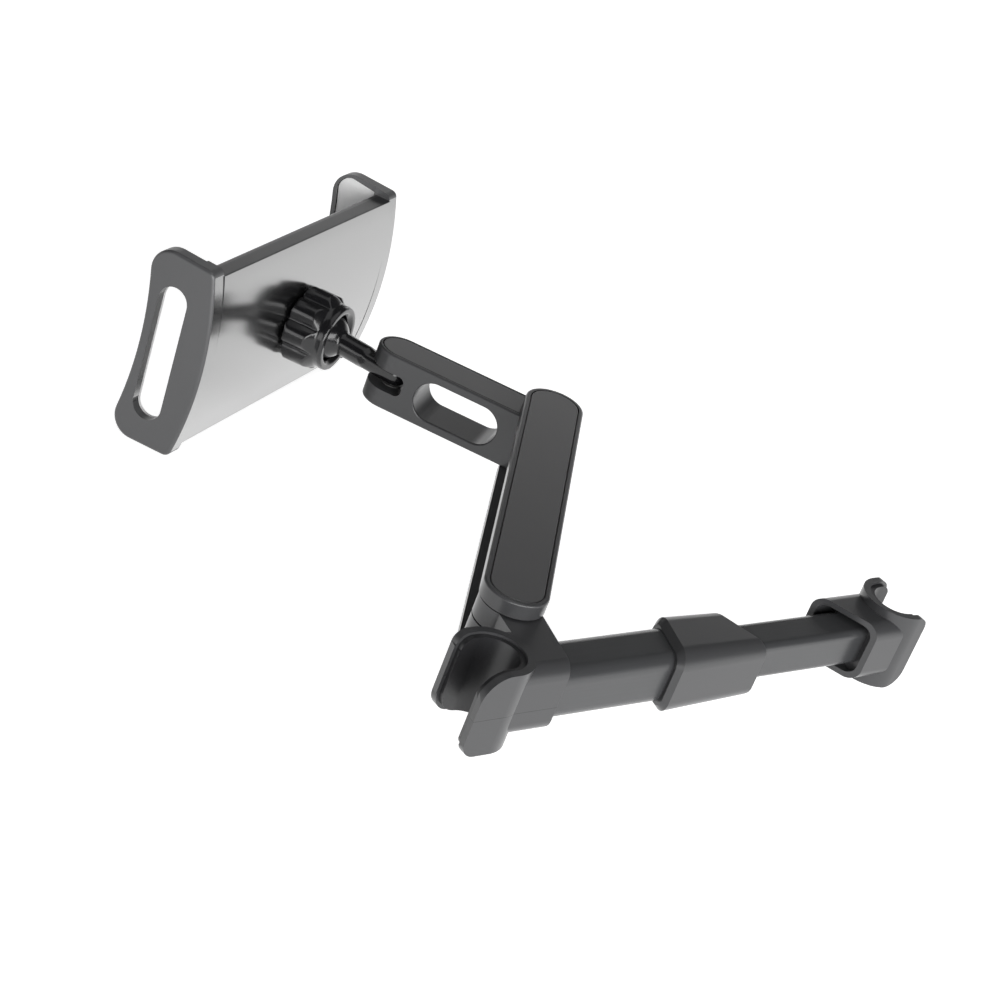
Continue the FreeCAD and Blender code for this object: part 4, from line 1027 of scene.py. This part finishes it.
class MOUNT_OT_stage(bpy.types.Operator):
    """Make the floor, the soft lamps, the pale surroundings and the camera"""

    bl_idname = "mount.stage"
    bl_label = "Floor, light and camera"

    def execute(self, context):
        scene = context.scene
        studio = scene.mount_stage
        middle = (cad_low + cad_high) / 2
        self.make_floor(studio, middle)
        new_lamp("Front lamp", FRONT_LAMP, middle, studio.front_power)
        new_lamp("Back lamp", BACK_LAMP, middle, studio.back_power)
        new_lamp("Top lamp", TOP_LAMP, middle, studio.top_power)
        self.make_surroundings(scene)
        self.make_camera(scene)
        scene.view_settings.view_transform = "Standard"
        return {"FINISHED"}

    def make_floor(self, studio, middle):
        """A pale floor under the mount, which glows white to the camera and in
        reflections, and only takes light and shadow otherwise."""
        half = studio.floor_size / 2
        level = cad_low.z
        corners = [
            (middle.x + x * half, middle.y + y * half, level) for x, y in CORNERS
        ]
        mesh = bpy.data.meshes.new("floor")
        mesh.from_pydata(corners, [], [(0, 1, 2, 3)])
        floor = new_piece("floor", mesh)
        material, tree, output = new_material("Pale floor")
        paper = tree.nodes.new("ShaderNodeBsdfDiffuse")
        paper.inputs["Color"].default_value = FLOOR_COLOUR
        glow = tree.nodes.new("ShaderNodeEmission")
        path = tree.nodes.new("ShaderNodeLightPath").outputs
        seen = maths(tree, "MULTIPLY", path["Is Camera Ray"], studio.floor_glow)
        mirrored = maths(
            tree, "MAXIMUM", path["Is Glossy Ray"], path["Is Transmission Ray"]
        )
        strength = maths(tree, "MULTIPLY_ADD", mirrored, studio.mirror_glow, seen)
        tree.links.new(strength, glow.inputs["Strength"])
        both = tree.nodes.new("ShaderNodeAddShader")
        tree.links.new(paper.outputs["BSDF"], both.inputs[0])
        tree.links.new(glow.outputs["Emission"], both.inputs[1])
        tree.links.new(both.outputs["Shader"], output.inputs["Surface"])
        mesh.materials.append(material)

    def make_surroundings(self, scene):
        world = bpy.data.worlds.new("Pale surroundings")
        world.use_nodes = True
        tree = world.node_tree
        tree.nodes.clear()
        output = tree.nodes.new("ShaderNodeOutputWorld")
        light = tree.nodes.new("ShaderNodeBackground")
        light.inputs["Color"].default_value = WHITE
        tree.links.new(light.outputs["Background"], output.inputs["Surface"])
        direction = tree.nodes.new("ShaderNodeTexCoord").outputs["Generated"]
        upward = height_part(tree, direction)
        level = stretch(tree, upward, *SKY_FADES, *SKY_STRENGTHS)
        tree.links.new(level, light.inputs["Strength"])
        scene.world = world

    def make_camera(self, scene):
        data = bpy.data.cameras.new("Camera")
        data.sensor_width = SENSOR_MM
        data.lens = LENS_MM
        data.clip_start = NEAREST
        camera = bpy.data.objects.new("Camera", data)
        up = [-part for part in LOOK_DOWN]
        behind = [-part for part in LOOK_AHEAD]
        turn = Matrix((LOOK_RIGHT, up, behind)).transposed()
        camera.matrix_world = Matrix.Translation(EYE) @ turn.to_4x4()
        scene.collection.objects.link(camera)
        scene.camera = camera


OPERATORS = (
    MOUNT_OT_finishes,
    MOUNT_OT_ball_joint,
    MOUNT_OT_holder_back,
    MOUNT_OT_screws,
    MOUNT_OT_stage,
)


class MOUNT_PT_panel(bpy.types.Panel):
    """Sizes, colours and steps of the tablet mount"""

    bl_idname = "MOUNT_PT_panel"
    bl_label = "Tablet mount"
    bl_space_type = "VIEW_3D"
    bl_region_type = "UI"
    bl_category = "Tablet mount"

    def draw(self, context):
        scene = context.scene
        for group in (scene.mount_finish, scene.mount_screws, scene.mount_stage):
            box = self.layout.box()
            for key in group.__annotations__:
                box.prop(group, key)
        for operator in OPERATORS:
            self.layout.operator(operator.bl_idname)


CLASSES = (MountFinish, MountScrews, MountStage, *OPERATORS, MOUNT_PT_panel)


def register():
    for each in CLASSES:
        bpy.utils.register_class(each)
    pointer = bpy.props.PointerProperty
    bpy.types.Scene.mount_finish = pointer(type=MountFinish)
    bpy.types.Scene.mount_screws = pointer(type=MountScrews)
    bpy.types.Scene.mount_stage = pointer(type=MountStage)


def unregister():
    del bpy.types.Scene.mount_stage
    del bpy.types.Scene.mount_screws
    del bpy.types.Scene.mount_finish
    for each in reversed(CLASSES):
        bpy.utils.unregister_class(each)


def main():
    register()
    bpy.ops.mount.finishes()
    bpy.ops.mount.ball_joint()
    bpy.ops.mount.holder_back()
    bpy.ops.mount.screws()
    bpy.ops.mount.stage()


if __name__ == "__main__":
    main()
